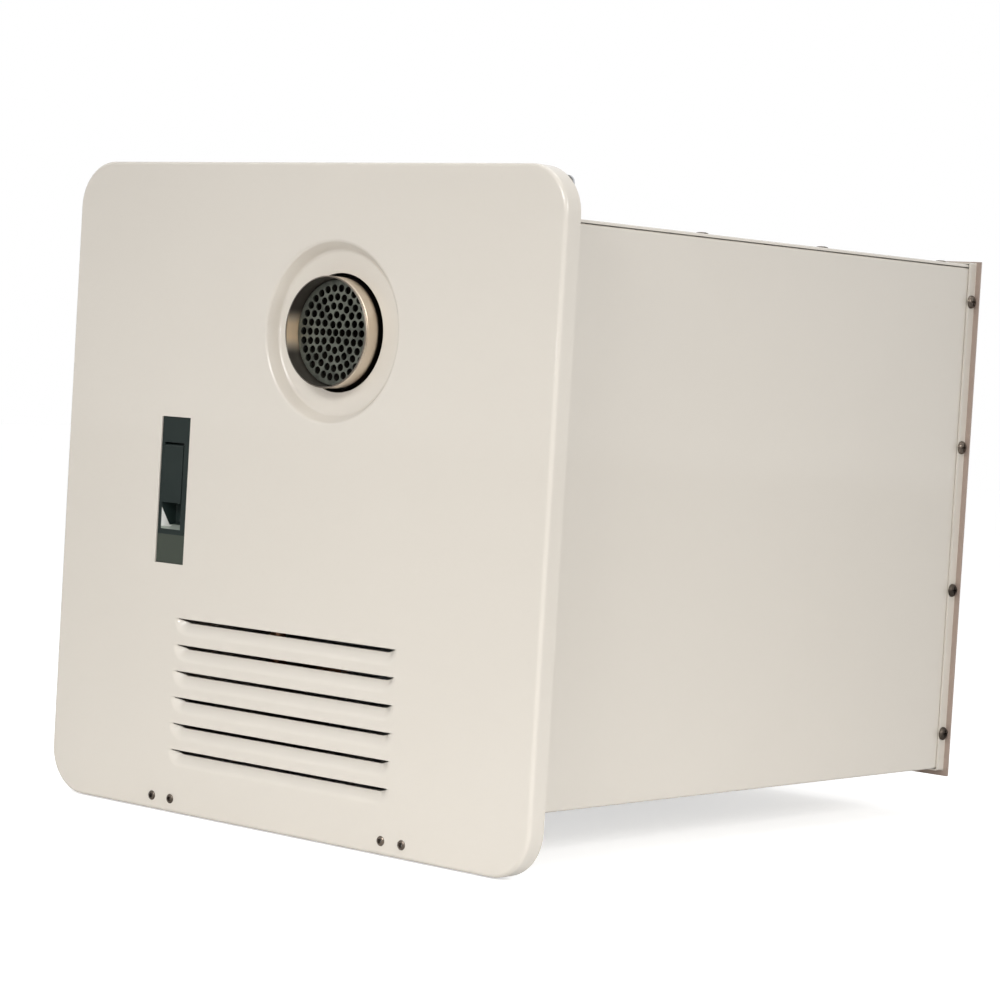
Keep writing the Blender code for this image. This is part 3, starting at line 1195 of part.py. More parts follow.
def probe(name, side):
    """A ceramic probe on the chamber's front wall, its rod through the wall's hole."""
    flange, body, tail = PROBE_FLANGE_SHEET, PROBE_BODY_LENGTH, PROBE_TAIL_LENGTH
    profile = [(0, PROBE_ROD_LENGTH), (PROBE_ROD_RADIUS, PROBE_ROD_LENGTH), (PROBE_ROD_RADIUS, 0),
               (PROBE_FLANGE_RADIUS, 0), (PROBE_FLANGE_RADIUS, -flange), (PROBE_BODY_RADIUS, -flange),
               (PROBE_BODY_RADIUS, -body), (PROBE_ROD_RADIUS, -body), (PROBE_ROD_RADIUS, -body - tail),
               (0, -body - tail)]
    place = (FLUE_X + side * PROBE_SPREAD, STACK_FRONT - SEAT_GAP, PROBE_Z)
    return finish_piece(turned(profile, PROBE_SIDES, ALONG_Y, place), name, "ceramic")


def overheat_cutout():
    """The thermal cut-out on the exchanger's front wall."""
    length, tab = CUTOUT_LENGTH, CUTOUT_TAB_LENGTH
    profile = [(0, 0), (CUTOUT_RADIUS, 0), (CUTOUT_RADIUS, -length), (CUTOUT_TAB_RADIUS, -length),
               (CUTOUT_TAB_RADIUS, -length - tab), (0, -length - tab)]
    place = (FLUE_X, STACK_FRONT - SEAT_GAP, EXCHANGER_Z)
    return finish_piece(turned(profile, PROBE_SIDES, ALONG_Y, place), "overheat_cutout", "black_plastic")


def scroll_outline(inset, overrun):
    """The blower's scroll and outlet neck seen from the side, as (depth, height) round the shaft."""
    low = BLOWER_OUTLET_HEIGHT - BLOWER_OUTER_RADIUS
    first = math.pi + math.asin(-low / BLOWER_INNER_RADIUS)
    last = -math.pi / 2
    points = [(-BLOWER_REACH - overrun, low - inset)]
    for step in range(BLOWER_SCROLL_STEPS + 1):
        share = step / BLOWER_SCROLL_STEPS
        angle = first + (last - first) * share
        radius = BLOWER_INNER_RADIUS + (BLOWER_OUTER_RADIUS - BLOWER_INNER_RADIUS) * share - inset
        if step == 0:
            points.append((-math.sqrt(radius ** 2 - (low - inset) ** 2), low - inset))
        else:
            points.append((radius * math.cos(angle), radius * math.sin(angle)))
    points.append((-BLOWER_REACH - overrun, inset - BLOWER_OUTER_RADIUS))
    return points


def blower_housing():
    """The blower's scroll, open to the plenum, with its inlet eye on the right and a shaft hole opposite."""
    centre = (FLUE_X, BLOWER_Y, BLOWER_Z)
    shell = outline_solid([scroll_outline(0, 0)], BLOWER_WIDTH, FACING_SIDE, centre)
    inner_width = BLOWER_WIDTH - 2 * BLOWER_SHEET
    hollow = outline_solid([scroll_outline(BLOWER_SHEET, OVERRUN)], inner_width, FACING_SIDE, centre)
    half = BLOWER_WIDTH / 2
    eye = rod(BLOWER_EYE_RADIUS, 2 * OVERRUN, ALONG_X, (FLUE_X + half, BLOWER_Y, BLOWER_Z), 2 * ROUND_SIDES)
    shaft_hole = rod(BLOWER_SHAFT_HOLE_RADIUS, 2 * OVERRUN, ALONG_X, (FLUE_X - half, BLOWER_Y, BLOWER_Z))
    return finish_piece(cut(shell, hollow, merged([eye, shaft_hole])), "blower_housing", "galvanised")


def blower_impeller():
    """The blower's wheel: a hub disc, a ring at the inlet side and leaning blades between them."""
    half = BLOWER_WIDTH / 2 - BLOWER_SHEET - IMPELLER_SIDE_GAP
    sheet = IMPELLER_DISC_SHEET
    disc = turned([(0, sheet - half), (IMPELLER_RADIUS, sheet - half), (IMPELLER_RADIUS, -half), (0, -half)],
                  2 * ROUND_SIDES, ALONG_Z)
    hub = rod(IMPELLER_HUB_RADIUS, IMPELLER_HUB_LENGTH - sheet / 2, ALONG_Z,
              (0, 0, (IMPELLER_HUB_LENGTH + sheet / 2) / 2 - half))
    ring = sleeve(IMPELLER_RADIUS, IMPELLER_RADIUS - IMPELLER_RING_WIDTH, sheet, ALONG_Z,
                  (0, 0, half - sheet / 2), 2 * ROUND_SIDES)
    blades = []
    middle = IMPELLER_RADIUS - IMPELLER_BLADE_DEPTH / 2
    for index in range(IMPELLER_BLADES):
        blade = centred_box((0, 0, 0), (IMPELLER_BLADE_DEPTH, IMPELLER_BLADE_SHEET, 2 * half - sheet))
        turn = Matrix.Rotation(2 * math.pi * index / IMPELLER_BLADES, 4, "Z")
        lean = Matrix.Rotation(IMPELLER_BLADE_LEAN, 4, "Z")
        blade.data.transform(turn @ Matrix.Translation((middle, 0, 0)) @ lean)
        blades.append(blade)
    bore = rod(SHAFT_RADIUS + SEAT_GAP, 2 * BLOWER_WIDTH, ALONG_Z, (0, 0, 0))
    wheel = cut(joined(disc, hub, merged(blades), ring), bore)
    wheel.data.transform(ALONG_X)
    wheel.matrix_world = Matrix.Translation((FLUE_X, BLOWER_Y, BLOWER_Z))
    return finish_piece(wheel, "blower_impeller", "aluminium", smooth=False)


def blower_shaft():
    left = MOTOR_FACE - SHAFT_IN_MOTOR + SEAT_GAP
    hub_end = FLUE_X - BLOWER_WIDTH / 2 + BLOWER_SHEET + IMPELLER_SIDE_GAP + IMPELLER_HUB_LENGTH
    right = hub_end + SHAFT_OVERHANG
    shaft = rod(SHAFT_RADIUS, right - left, ALONG_X, ((left + right) / 2, BLOWER_Y, BLOWER_Z))
    return finish_piece(shaft, "blower_shaft", "steel")


def blower_motor():
    """The motor on the blower's left side, with a bore for the shaft and a boss on its far end."""
    bore = SHAFT_RADIUS + SEAT_GAP
    profile = [(0, -SHAFT_IN_MOTOR), (bore, -SHAFT_IN_MOTOR), (bore, 0), (MOTOR_RADIUS, 0),
               (MOTOR_RADIUS, -MOTOR_LENGTH), (MOTOR_BOSS_RADIUS, -MOTOR_LENGTH),
               (MOTOR_BOSS_RADIUS, -MOTOR_LENGTH - MOTOR_BOSS_LENGTH), (0, -MOTOR_LENGTH - MOTOR_BOSS_LENGTH)]
    motor = turned(profile, 2 * PROBE_SIDES, ALONG_X, (MOTOR_FACE, BLOWER_Y, BLOWER_Z))
    return finish_piece(motor, "blower_motor", "grey_plastic")


def fitting(name, across, up):
    """A pipe fitting through the rear cover: threaded end outside, nut and tail inside."""
    end = FITTING_REACH + CASE_SHEET
    nut = SEAT_GAP + FITTING_NUT_LENGTH
    profile = [(0, end - FITTING_BORE_DEPTH), (FITTING_BORE_RADIUS, end - FITTING_BORE_DEPTH),
               (FITTING_BORE_RADIUS, end), (FITTING_RADIUS, end), (FITTING_RADIUS, -SEAT_GAP),
               (FITTING_NUT_RADIUS, -SEAT_GAP), (FITTING_NUT_RADIUS, -nut), (FITTING_RADIUS, -nut),
               (FITTING_RADIUS, -nut - FITTING_TAIL), (0, -nut - FITTING_TAIL)]
    return finish_piece(turned(profile, FITTING_SIDES, ALONG_Y, (across, REAR_INNER, up)), name, "brass")


def straight_pipe(name, start, end, radius, finish):
    return finish_piece(tube([start, end], radius), name, finish)


def gas_valve():
    centre = (GAS_X, GAS_VALVE_FRONT + GAS_VALVE_DEPTH / 2, GAS_Z)
    body = centred_box(centre, (GAS_VALVE_WIDTH, GAS_VALVE_DEPTH, GAS_VALVE_HEIGHT))
    return finish_piece(body, "gas_valve", "aluminium", smooth=False)


def gas_solenoid(name, side):
    """One shut-off coil on the gas valve's top, with its plunger cap."""
    middle = GAS_VALVE_FRONT + GAS_VALVE_DEPTH / 2 + side * GAS_SOLENOID_SPACING / 2
    base = GAS_Z + GAS_VALVE_HEIGHT / 2 + SEAT_GAP
    shoulder = base + GAS_SOLENOID_HEIGHT * SOLENOID_COIL_SHARE
    top = base + GAS_SOLENOID_HEIGHT
    cap = GAS_SOLENOID_RADIUS * SOLENOID_CAP_SHARE
    profile = [(0, top), (cap, top), (cap, shoulder), (GAS_SOLENOID_RADIUS, shoulder),
               (GAS_SOLENOID_RADIUS, base), (0, base)]
    return finish_piece(turned(profile, FITTING_SIDES, ALONG_Z, (GAS_X, middle, 0)), name, "black_plastic")


def valve_bracket():
    """The channel that stands the gas valve off the case's floor."""
    low = CASE_FLOOR + SEAT_GAP
    high = GAS_Z - GAS_VALVE_HEIGHT / 2 - SEAT_GAP
    front = GAS_VALVE_FRONT + (GAS_VALVE_DEPTH - VALVE_FOOT_DEPTH) / 2
    back, sheet = front + VALVE_FOOT_DEPTH, VALVE_FOOT_SHEET
    outline = [(front, low), (back, low), (back, low + sheet), (front + sheet, low + sheet),
               (front + sheet, high - sheet), (back, high - sheet), (back, high), (front, high)]
    bracket = outline_solid([outline], VALVE_FOOT_WIDTH, FACING_SIDE, (GAS_X, 0, 0))
    return finish_piece(bracket, "valve_bracket", "galvanised", smooth=False)


def gas_manifold():
    """The gas rail before the burner box: one nozzle to each bar and a flange for its supply."""
    manifold_y = STACK_FRONT - MANIFOLD_STANDOFF
    left, right = MANIFOLD_LEFT, STACK_RIGHT
    rail = rod(MANIFOLD_RADIUS, right - left, ALONG_X, ((left + right) / 2, manifold_y, NOZZLE_Z))
    flange_x = left - MANIFOLD_FLANGE_SHEET / 2 + SEAT_GAP
    flange = rod(MANIFOLD_FLANGE_RADIUS, MANIFOLD_FLANGE_SHEET, ALONG_X, (flange_x, manifold_y, NOZZLE_Z))
    tip = STACK_FRONT + STACK_SHEET / 2
    nozzles = []
    for across in bar_places():
        place = (across, (manifold_y + tip) / 2, NOZZLE_Z)
        nozzles.append(rod(NOZZLE_RADIUS, tip - manifold_y, ALONG_Y, place, SMALL_SIDES))
    return finish_piece(joined(rail, flange, merged(nozzles)), "gas_manifold", "brass")


def gas_supply_tube():
    """The tube from the valve's front to the manifold's flange."""
    manifold_y = STACK_FRONT - MANIFOLD_STANDOFF
    end = MANIFOLD_LEFT - MANIFOLD_FLANGE_SHEET
    route = [(GAS_X, GAS_VALVE_FRONT - SEAT_GAP, GAS_Z), (GAS_X, manifold_y, GAS_Z),
             (GAS_X, manifold_y, NOZZLE_Z), (end, manifold_y, NOZZLE_Z)]
    points = rounded_route(route, PIPE_BEND, PIPE_BEND_STEPS)
    return finish_piece(tube(points, GAS_TUBE_RADIUS), "gas_supply_tube", "copper")


def flow_sensor():
    """The flow sensor's body: a necked barrel round its rotor, and a small electrics box on top."""
    half, neck = SENSOR_LENGTH / 2, SENSOR_NECK_LENGTH
    shoulder = half - neck
    inner_shoulder = SENSOR_CAVITY / 2
    profile = [(SENSOR_NECK_RADIUS, half), (SENSOR_NECK_RADIUS, shoulder), (SENSOR_RADIUS, shoulder),
               (SENSOR_RADIUS, -shoulder), (SENSOR_NECK_RADIUS, -shoulder), (SENSOR_NECK_RADIUS, -half),
               (SENSOR_NECK_BORE_RADIUS, -half), (SENSOR_NECK_BORE_RADIUS, -inner_shoulder),
               (SENSOR_BORE_RADIUS, -inner_shoulder), (SENSOR_BORE_RADIUS, inner_shoulder),
               (SENSOR_NECK_BORE_RADIUS, inner_shoulder), (SENSOR_NECK_BORE_RADIUS, half)]
    barrel = turned(profile, FITTING_SIDES, ALONG_Y, (WATER_X, SENSOR_MIDDLE, COLD_Z), closed=True)
    base = COLD_Z + (SENSOR_RADIUS + SENSOR_BORE_RADIUS) / 2
    electrics = centred_box((WATER_X, SENSOR_MIDDLE, base + SENSOR_BOX_HEIGHT / 2),
                            (SENSOR_BOX_WIDTH, SENSOR_BOX_DEPTH, SENSOR_BOX_HEIGHT))
    return finish_piece(joined(barrel, electrics), "flow_sensor", "grey_plastic")


def flow_rotor():
    """The vane wheel that the water turns, held endwise between the shoulders of the flow sensor's bore."""
    hub = rod(ROTOR_HUB_RADIUS, ROTOR_LENGTH - 2 * ROTOR_VANE_SHEET, ALONG_Z, (0, 0, 0), 2 * ROTOR_VANES)
    vanes = []
    for index in range(ROTOR_VANES):
        vane = box((ROTOR_HUB_RADIUS / 2, -ROTOR_VANE_SHEET / 2, -ROTOR_LENGTH / 2),
                   (ROTOR_RADIUS, ROTOR_VANE_SHEET / 2, ROTOR_LENGTH / 2))
        vane.data.transform(Matrix.Rotation(2 * math.pi * index / ROTOR_VANES, 4, "Z") @ vane.matrix_world)
        vane.matrix_world = FACING_UP
        vanes.append(vane)
    wheel = hub
    for vane in vanes:
        wheel = joined(wheel, vane)
    wheel.data.transform(ALONG_Y)
    wheel.matrix_world = Matrix.Translation((WATER_X, SENSOR_MIDDLE, COLD_Z))
    return finish_piece(wheel, "flow_rotor", "ceramic", smooth=False)


def chamber_pipe():
    """The water pipe from the flow sensor, twice round the chamber and into the exchanger."""
    near = WRAP_STANDOFF + WATER_PIPE_RADIUS
    right, left = STACK_RIGHT + near, STACK_LEFT - near
    front, back = STACK_FRONT - near, STACK_REAR + near
    outside = WATER_X - STACK_RIGHT
    low = CHAMBER_BASE + WRAP_RISE
    high = low + WRAP_PITCH
    far = STACK_LEFT - outside
    route = [(WATER_X, SENSOR_FRONT - SEAT_GAP, COLD_Z), (WATER_X, RISER_Y, COLD_Z),
             (WATER_X, RISER_Y, low), (WATER_X, RISER_Y - WRAP_SHIFT, low),
             (right, RISER_Y - 2 * WRAP_SHIFT, low), (right, front, low), (left, front, low),
             (left, back, low), (right, back, high), (right, front, high), (left, front, high),
             (left, WRAP_END_Y - 2 * WRAP_SHIFT, high), (far, WRAP_END_Y - WRAP_SHIFT, high),
             (far, WRAP_END_Y, high), (far, WRAP_END_Y, EXCHANGER_Z),
             (STACK_LEFT - SEAT_GAP, WRAP_END_Y, EXCHANGER_Z)]
    points = rounded_route(route, PIPE_BEND, PIPE_BEND_STEPS)
    return finish_piece(tube(points, WATER_PIPE_RADIUS), "chamber_pipe", "copper")


def water_outlet_pipe():
    """The hot pipe from the exchanger's right wall, back and down to its fitting."""
    route = [(STACK_RIGHT + SEAT_GAP, OUTLET_START_Y, EXCHANGER_Z), (WATER_X, OUTLET_START_Y, EXCHANGER_Z),
             (WATER_X, OUTLET_DROP_Y, EXCHANGER_Z), (WATER_X, OUTLET_DROP_Y, HOT_Z),
             (WATER_X, FITTING_FRONT - SEAT_GAP, HOT_Z)]
    points = rounded_route(route, PIPE_BEND, PIPE_BEND_STEPS)
    return finish_piece(tube(points, WATER_PIPE_RADIUS), "water_outlet_pipe", "copper")


def control_corners():
    low = Vector((WALL_X, CONTROL_FRONT, CONTROL_BOTTOM))
    return low, low + Vector((CONTROL_WIDTH, CONTROL_DEPTH, CONTROL_HEIGHT))


def control_box():
    """The tray for the board on the case's left side, open to the front, with four bosses inside."""
    low, high = control_corners()
    sheet = CONTROL_SHEET
    rim = low.y + sheet + SEAT_GAP
    tray = box((low.x, rim, low.z), high)
    hollow = box((low.x + sheet, rim - OVERRUN, low.z + sheet),
                 (high.x - sheet, high.y - sheet, high.z - sheet))
    back = high.y - sheet / 2
    front = BOARD_BACK + SEAT_GAP
    bosses = []
    for across in (low.x + CONTROL_BOSS_INSET, high.x - CONTROL_BOSS_INSET):
        for up in (low.z + CONTROL_BOSS_INSET, high.z - CONTROL_BOSS_INSET):
            place = (across, (front + back) / 2, up)
            bosses.append(rod(CONTROL_BOSS_RADIUS, back - front, ALONG_Y, place, SMALL_SIDES))
    tray = joined(cut(tray, hollow), merged(bosses))
    return finish_piece(tray, "control_box", "black_plastic", smooth=False)


def control_board():
    """The circuit board with a relay, a chip and a row of plugs."""
    low, high = control_corners()
    margin = CONTROL_SHEET + BOARD_MARGIN
    front = BOARD_BACK - BOARD_SHEET
    board = box((low.x + margin, front, low.z + margin), (high.x - margin, BOARD_BACK, high.z - margin))
    middle = (low + high) / 2
    sink = BOARD_SHEET / 2
    blocks = []
    placed = ((RELAY_SIZE, RELAY_PLACE_SHARES), (CHIP_SIZE, CHIP_PLACE_SHARES),
              (PLUG_SIZE, PLUG_PLACE_SHARES))
    for size, (across, up) in placed:
        place = (middle.x + across * CONTROL_WIDTH, front + sink - size.y / 2,
                 middle.z + up * CONTROL_HEIGHT)
        blocks.append(centred_box(place, size))
    return finish_piece(joined(board, merged(blocks)), "control_board", "board", smooth=False)


def switch_place():
    low, high = control_corners()
    return Vector(((low.x + high.x) / 2, low.y, (low.z + high.z) / 2 + SWITCH_RISE))


def control_cover():
    """The control box's front cover, with a lip inside the tray and a window for the switch."""
    low, high = control_corners()
    sheet = CONTROL_SHEET
    plate = box(low, (high.x, low.y + sheet, high.z))
    inset = sheet + SEAT_GAP
    lip = box((low.x + inset, low.y + sheet / 2, low.z + inset),
              (high.x - inset, low.y + sheet + CONTROL_COVER_LIP, high.z - inset))
    wall = inset + sheet
    inside = box((low.x + wall, low.y + sheet, low.z + wall),
                 (high.x - wall, low.y + sheet + CONTROL_COVER_LIP + OVERRUN, high.z - wall))
    place = switch_place()
    window = centred_box(place, (SWITCH_WIDTH, 2 * OVERRUN, SWITCH_HEIGHT))
    cover = cut(joined(plate, lip), inside, window)
    return finish_piece(cover, "control_cover", "black_plastic", smooth=False)


def switch_frame():
    """The power switch's frame: a rim on the cover and a body through its window, hollow for the rocker."""
    place = switch_place()
    rim_front = place.y - SEAT_GAP - SWITCH_RIM_SHEET
    rim = centred_box((place.x, rim_front + SWITCH_RIM_SHEET / 2, place.z),
                      (SWITCH_WIDTH + 2 * SWITCH_RIM, SWITCH_RIM_SHEET, SWITCH_HEIGHT + 2 * SWITCH_RIM))
    width, height = SWITCH_WIDTH - 2 * SEAT_GAP, SWITCH_HEIGHT - 2 * SEAT_GAP
    body_front = rim_front + SWITCH_RIM_SHEET / 2
    body_back = rim_front + SWITCH_DEPTH
    body = centred_box((place.x, (body_front + body_back) / 2, place.z),
                       (width, body_back - body_front, height))
    half_width, half_height = width / 2 - SWITCH_WALL, height / 2 - SWITCH_WALL
    hollow = box((place.x - half_width, rim_front - OVERRUN, place.z - half_height),
                 (place.x + half_width, body_back - SWITCH_WALL, place.z + half_height))
    return finish_piece(cut(joined(rim, body), hollow), "switch_frame", "black_plastic", smooth=False)


def power_rocker():
    """The switch's rocker, resting on one stop, with its origin on its pivot."""
    place = switch_place()
    pivot = Vector((place.x, place.y - SEAT_GAP - SWITCH_RIM_SHEET + ROCKER_PIVOT_DEPTH, place.z))
    wall = SWITCH_WALL + SEAT_GAP
    width = SWITCH_WIDTH - 2 * (wall + SEAT_GAP)
    half = SWITCH_HEIGHT / 2 - wall - ROCKER_CLEARANCE
    deep = ROCKER_HALF_DEPTH
    dip = deep * math.sin(ROCKER_TILT)
    outline = [(deep - dip, -half), (deep, 0), (deep - dip, half), (-deep, half), (dip - deep, 0),
               (-deep, -half)]
    rocker = outline_solid([outline], width, FACING_SIDE)
    rocker.data.transform(Matrix.Rotation(ROCKER_TILT, 4, "X") @ rocker.matrix_world)
    rocker.matrix_world = Matrix.Translation(pivot)
    return finish_piece(rocker, "power_rocker", "grey_plastic", smooth=False)


def spark_module():
    """The spark module on the case's left side, with a socket for its lead."""
    low = Vector((WALL_X, SPARK_FRONT, SPARK_Z - SPARK_HEIGHT / 2))
    body = box(low, low + Vector((SPARK_WIDTH, SPARK_DEPTH, SPARK_HEIGHT)))
    socket_x = low.x + SPARK_WIDTH + SPARK_SOCKET_LENGTH / 2 - SEAT_GAP
    place = (socket_x, SPARK_FRONT + SPARK_DEPTH / 2, SPARK_Z)
    socket = rod(SPARK_SOCKET_RADIUS, SPARK_SOCKET_LENGTH, ALONG_X, place, SMALL_SIDES)
    return finish_piece(joined(body, socket), "spark_module", "black_plastic", smooth=False)


def spark_lead():
    """The lead from the spark module's socket to the igniter's tail."""
    start_x = WALL_X + SPARK_WIDTH + SPARK_SOCKET_LENGTH
    start_y = SPARK_FRONT + SPARK_DEPTH / 2
    tail = STACK_FRONT - 2 * SEAT_GAP - PROBE_BODY_LENGTH - PROBE_TAIL_LENGTH
    igniter_x = FLUE_X - PROBE_SPREAD
    route = [(start_x, start_y, SPARK_Z), (SPARK_LEAD_X, start_y, SPARK_Z),
             (SPARK_LEAD_X, SPARK_LEAD_Y, PROBE_Z), (igniter_x, SPARK_LEAD_Y, PROBE_Z),
             (igniter_x, tail, PROBE_Z)]
    points = rounded_route(route, SPARK_LEAD_BEND, PIPE_BEND_STEPS)
    return finish_piece(tube(points, SPARK_LEAD_RADIUS, 1), "spark_lead", "red_cable")


def wiring_loom():
    """The loom from under the control box along the left side to the rear gland."""
    drop_y = CONTROL_FRONT + CONTROL_DEPTH / 2
    gland = REAR_INNER - 2 * SEAT_GAP - GLAND_NUT_LENGTH
    route = [(LOOM_X, drop_y, CONTROL_BOTTOM - SEAT_GAP), (LOOM_X, drop_y, LOOM_Z),
             (LOOM_X, LOOM_REAR, LOOM_Z), (GLAND_X, LOOM_REAR, LOOM_Z), (GLAND_X, LOOM_REAR, GLAND_Z),
             (GLAND_X, gland, GLAND_Z)]
    points = rounded_route(route, LOOM_BEND, PIPE_BEND_STEPS)
    return finish_piece(tube(points, LOOM_RADIUS, 1), "wiring_loom", "cable")


def cable_gland():
    """The gland in the rear cover where the supply cable would enter."""
    end = GLAND_REACH + CASE_SHEET
    nut = GLAND_NUT_LENGTH
    ring = CASE_SHEET + SEAT_GAP
    bore = GLAND_BORE_RADIUS
    profile = [(0, end - GLAND_BORE_DEPTH), (bore, end - GLAND_BORE_DEPTH), (bore, end), (GLAND_RADIUS, end),
               (GLAND_RADIUS, ring + nut), (GLAND_NUT_RADIUS, ring + nut), (GLAND_NUT_RADIUS, ring),
               (GLAND_RADIUS, ring), (GLAND_RADIUS, -SEAT_GAP), (GLAND_NUT_RADIUS, -SEAT_GAP),
               (GLAND_NUT_RADIUS, -SEAT_GAP - nut), (0, -SEAT_GAP - nut)]
    gland = turned(profile, FITTING_SIDES, ALONG_Y, (GLAND_X, REAR_INNER, GLAND_Z))
    return finish_piece(gland, "cable_gland", "black_plastic")


clear_scene()
PARTS = new_collection(OBJECT_NAME)
TOOLS = new_collection("cutters")
TOOLS.hide_render = True

# Door group, carried by its hinge axis
door_axis = joint_axis("door_axis", (0, HINGE_Y, HINGE_Z))
for piece in (door_panel(), door_gasket(), latch_housing(), latch_pin(), latch_spring(),
              hinge_door_leaf(-1, "hinge_door_leaf_left"), hinge_door_leaf(1, "hinge_door_leaf_right")):
    carry(piece, door_axis)
paddle_axis = joint_axis("paddle_axis", (PADDLE_X, PIN_Y, PIN_Z))
carry(latch_paddle(), paddle_axis)
carry(paddle_axis, door_axis)

# Case, flange, hinges and keeper
for side, word in ((-1, "left"), (1, "right")):
    hinge_case_leaf(side, "hinge_case_leaf_" + word)
    hinge_pin(side, "hinge_pin_" + word)
case_wrapper()
top_cover()
rear_cover()
mounting_flange()
latch_keeper()
keeper_bar()

# Flue and burner stack
exhaust_tube()
exhaust_screen()
air_plenum()
burner_box()
burner_bars()
combustion_chamber()
heat_exchanger_shell()
heat_exchanger_fins()
exhaust_hood()
probe("igniter", -1)
probe("flame_sensor", 1)
overheat_cutout()

# Blower, its wheel and shaft carried by their axis
blower_housing()
blower_motor()
blower_axis = joint_axis("blower_axis", (FLUE_X, BLOWER_Y, BLOWER_Z))
carry(blower_impeller(), blower_axis)
carry(blower_shaft(), blower_axis)

# Gas line
fitting("gas_inlet_fitting", GAS_X, GAS_Z)
straight_pipe("gas_inlet_pipe", (GAS_X, GAS_VALVE_FRONT + GAS_VALVE_DEPTH + SEAT_GAP, GAS_Z),
              (GAS_X, FITTING_FRONT - SEAT_GAP, GAS_Z), GAS_PIPE_RADIUS, "steel")
gas_valve()
gas_solenoid("gas_solenoid_front", -1)
gas_solenoid("gas_solenoid_rear", 1)
valve_bracket()
gas_supply_tube()
gas_manifold()

# Water line
fitting("water_inlet_fitting", WATER_X, COLD_Z)
straight_pipe("water_inlet_pipe", (WATER_X, SENSOR_REAR + SEAT_GAP, COLD_Z),
              (WATER_X, FITTING_FRONT - SEAT_GAP, COLD_Z), WATER_PIPE_RADIUS, "copper")
flow_sensor()
flow_rotor()
chamber_pipe()
water_outlet_pipe()
fitting("water_outlet_fitting", WATER_X, HOT_Z)

# Control pieces
control_box()
control_board()
control_cover()
switch_frame()
power_rocker()
spark_module()
spark_lead()
wiring_loom()
cable_gland()
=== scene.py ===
# Looks of a tankless water heater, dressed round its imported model.
# Metres, +X right seen from the front, +Y into the case, +Z up.
import json
import math

import bmesh
import bpy
from mathutils import Euler, Matrix, Vector


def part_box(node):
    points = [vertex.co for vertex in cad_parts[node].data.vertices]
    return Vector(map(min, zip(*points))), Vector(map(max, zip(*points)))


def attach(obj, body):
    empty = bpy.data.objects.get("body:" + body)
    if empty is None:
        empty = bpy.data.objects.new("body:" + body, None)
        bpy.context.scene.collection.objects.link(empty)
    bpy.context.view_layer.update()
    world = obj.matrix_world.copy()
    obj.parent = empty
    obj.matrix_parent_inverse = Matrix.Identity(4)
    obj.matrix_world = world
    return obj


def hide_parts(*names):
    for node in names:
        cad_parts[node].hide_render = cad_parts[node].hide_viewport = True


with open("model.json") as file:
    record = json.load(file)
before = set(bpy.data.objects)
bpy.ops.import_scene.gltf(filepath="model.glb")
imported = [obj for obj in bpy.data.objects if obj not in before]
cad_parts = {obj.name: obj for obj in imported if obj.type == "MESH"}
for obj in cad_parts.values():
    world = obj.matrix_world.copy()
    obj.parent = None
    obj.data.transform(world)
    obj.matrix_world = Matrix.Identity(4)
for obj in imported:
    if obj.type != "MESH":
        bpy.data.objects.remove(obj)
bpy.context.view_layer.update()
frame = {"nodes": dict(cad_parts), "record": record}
bodyOf = {node: body for body, members in frame["record"]["behaviour"]["bodies"].items() for node in members}
print("frame loaded:", len(frame["nodes"]), "nodes")

weld = 0.000002
overrun = 0.004
seatGap = 0.0003
caseBody = bodyOf["case_wrapper"]
doorBody = bodyOf["door_panel"]

# Camera as the photograph was taken, and the light
view = {
    "azimuth": 40.569,
    "elevation": 2.592,
    "roll": 3.408,
    "target": (0.15635, -0.0142, 0.00893),
    "distance": 1.6228,
    "lens": 109.69,
    "floorHeight": -0.1935,
    "worldStrength": 0.40,
    "keyWatts": 1.65,
    "fillWatts": 1.25,
    "topWatts": 9,
    "glintWatts": 1.2,
    "beam": math.radians(60),
}


def makeCamera():
    azimuth, elevation = math.radians(view["azimuth"]), math.radians(view["elevation"])
    back = Vector((math.sin(azimuth) * math.cos(elevation), -math.cos(azimuth) * math.cos(elevation),
                   math.sin(elevation)))
    camera = bpy.data.objects.new("camera", bpy.data.cameras.new("camera"))
    bpy.context.scene.collection.objects.link(camera)
    camera.data.lens = view["lens"]
    camera.data.sensor_width = 36
    camera.data.clip_start = 0.05
    camera.data.clip_end = 50
    turn = (-back).to_track_quat("-Z", "Y").to_matrix() @ Matrix.Rotation(math.radians(view["roll"]), 3, "Z")
    place = Matrix.Translation(Vector(view["target"]) + back * view["distance"])
    camera.matrix_world = place @ turn.to_4x4()
    bpy.context.scene.camera = camera


def makeLamp(name, place, target, size, watts, beam=math.pi):
    lamp = bpy.data.objects.new(name, bpy.data.lights.new(name, "AREA"))
    bpy.context.scene.collection.objects.link(lamp)
    lamp.data.shape = "RECTANGLE"
    lamp.data.size, lamp.data.size_y = size
    lamp.data.energy = watts
    lamp.data.spread = beam
    place, target = Vector(place), Vector(target)
    lamp.matrix_world = Matrix.Translation(place) @ (target - place).to_track_quat("-Z", "Y").to_matrix().to_4x4()


# A socket that takes part in sums, so that an expression adds its Math nodes
class Wire:
    def __init__(self, finish, socket):
        self.finish = finish
        self.socket = socket

    def __add__(self, other):
        return self.finish.maths("ADD", self, other)

    def __radd__(self, other):
        return self.finish.maths("ADD", other, self)

    def __sub__(self, other):
        return self.finish.maths("SUBTRACT", self, other)

    def __rsub__(self, other):
        return self.finish.maths("SUBTRACT", other, self)

    def __mul__(self, other):
        return self.finish.maths("MULTIPLY", self, other)

    def __rmul__(self, other):
        return self.finish.maths("MULTIPLY", other, self)

    def __truediv__(self, other):
        return self.finish.maths("DIVIDE", self, other)

    def __pow__(self, other):
        return self.finish.maths("POWER", self, other)


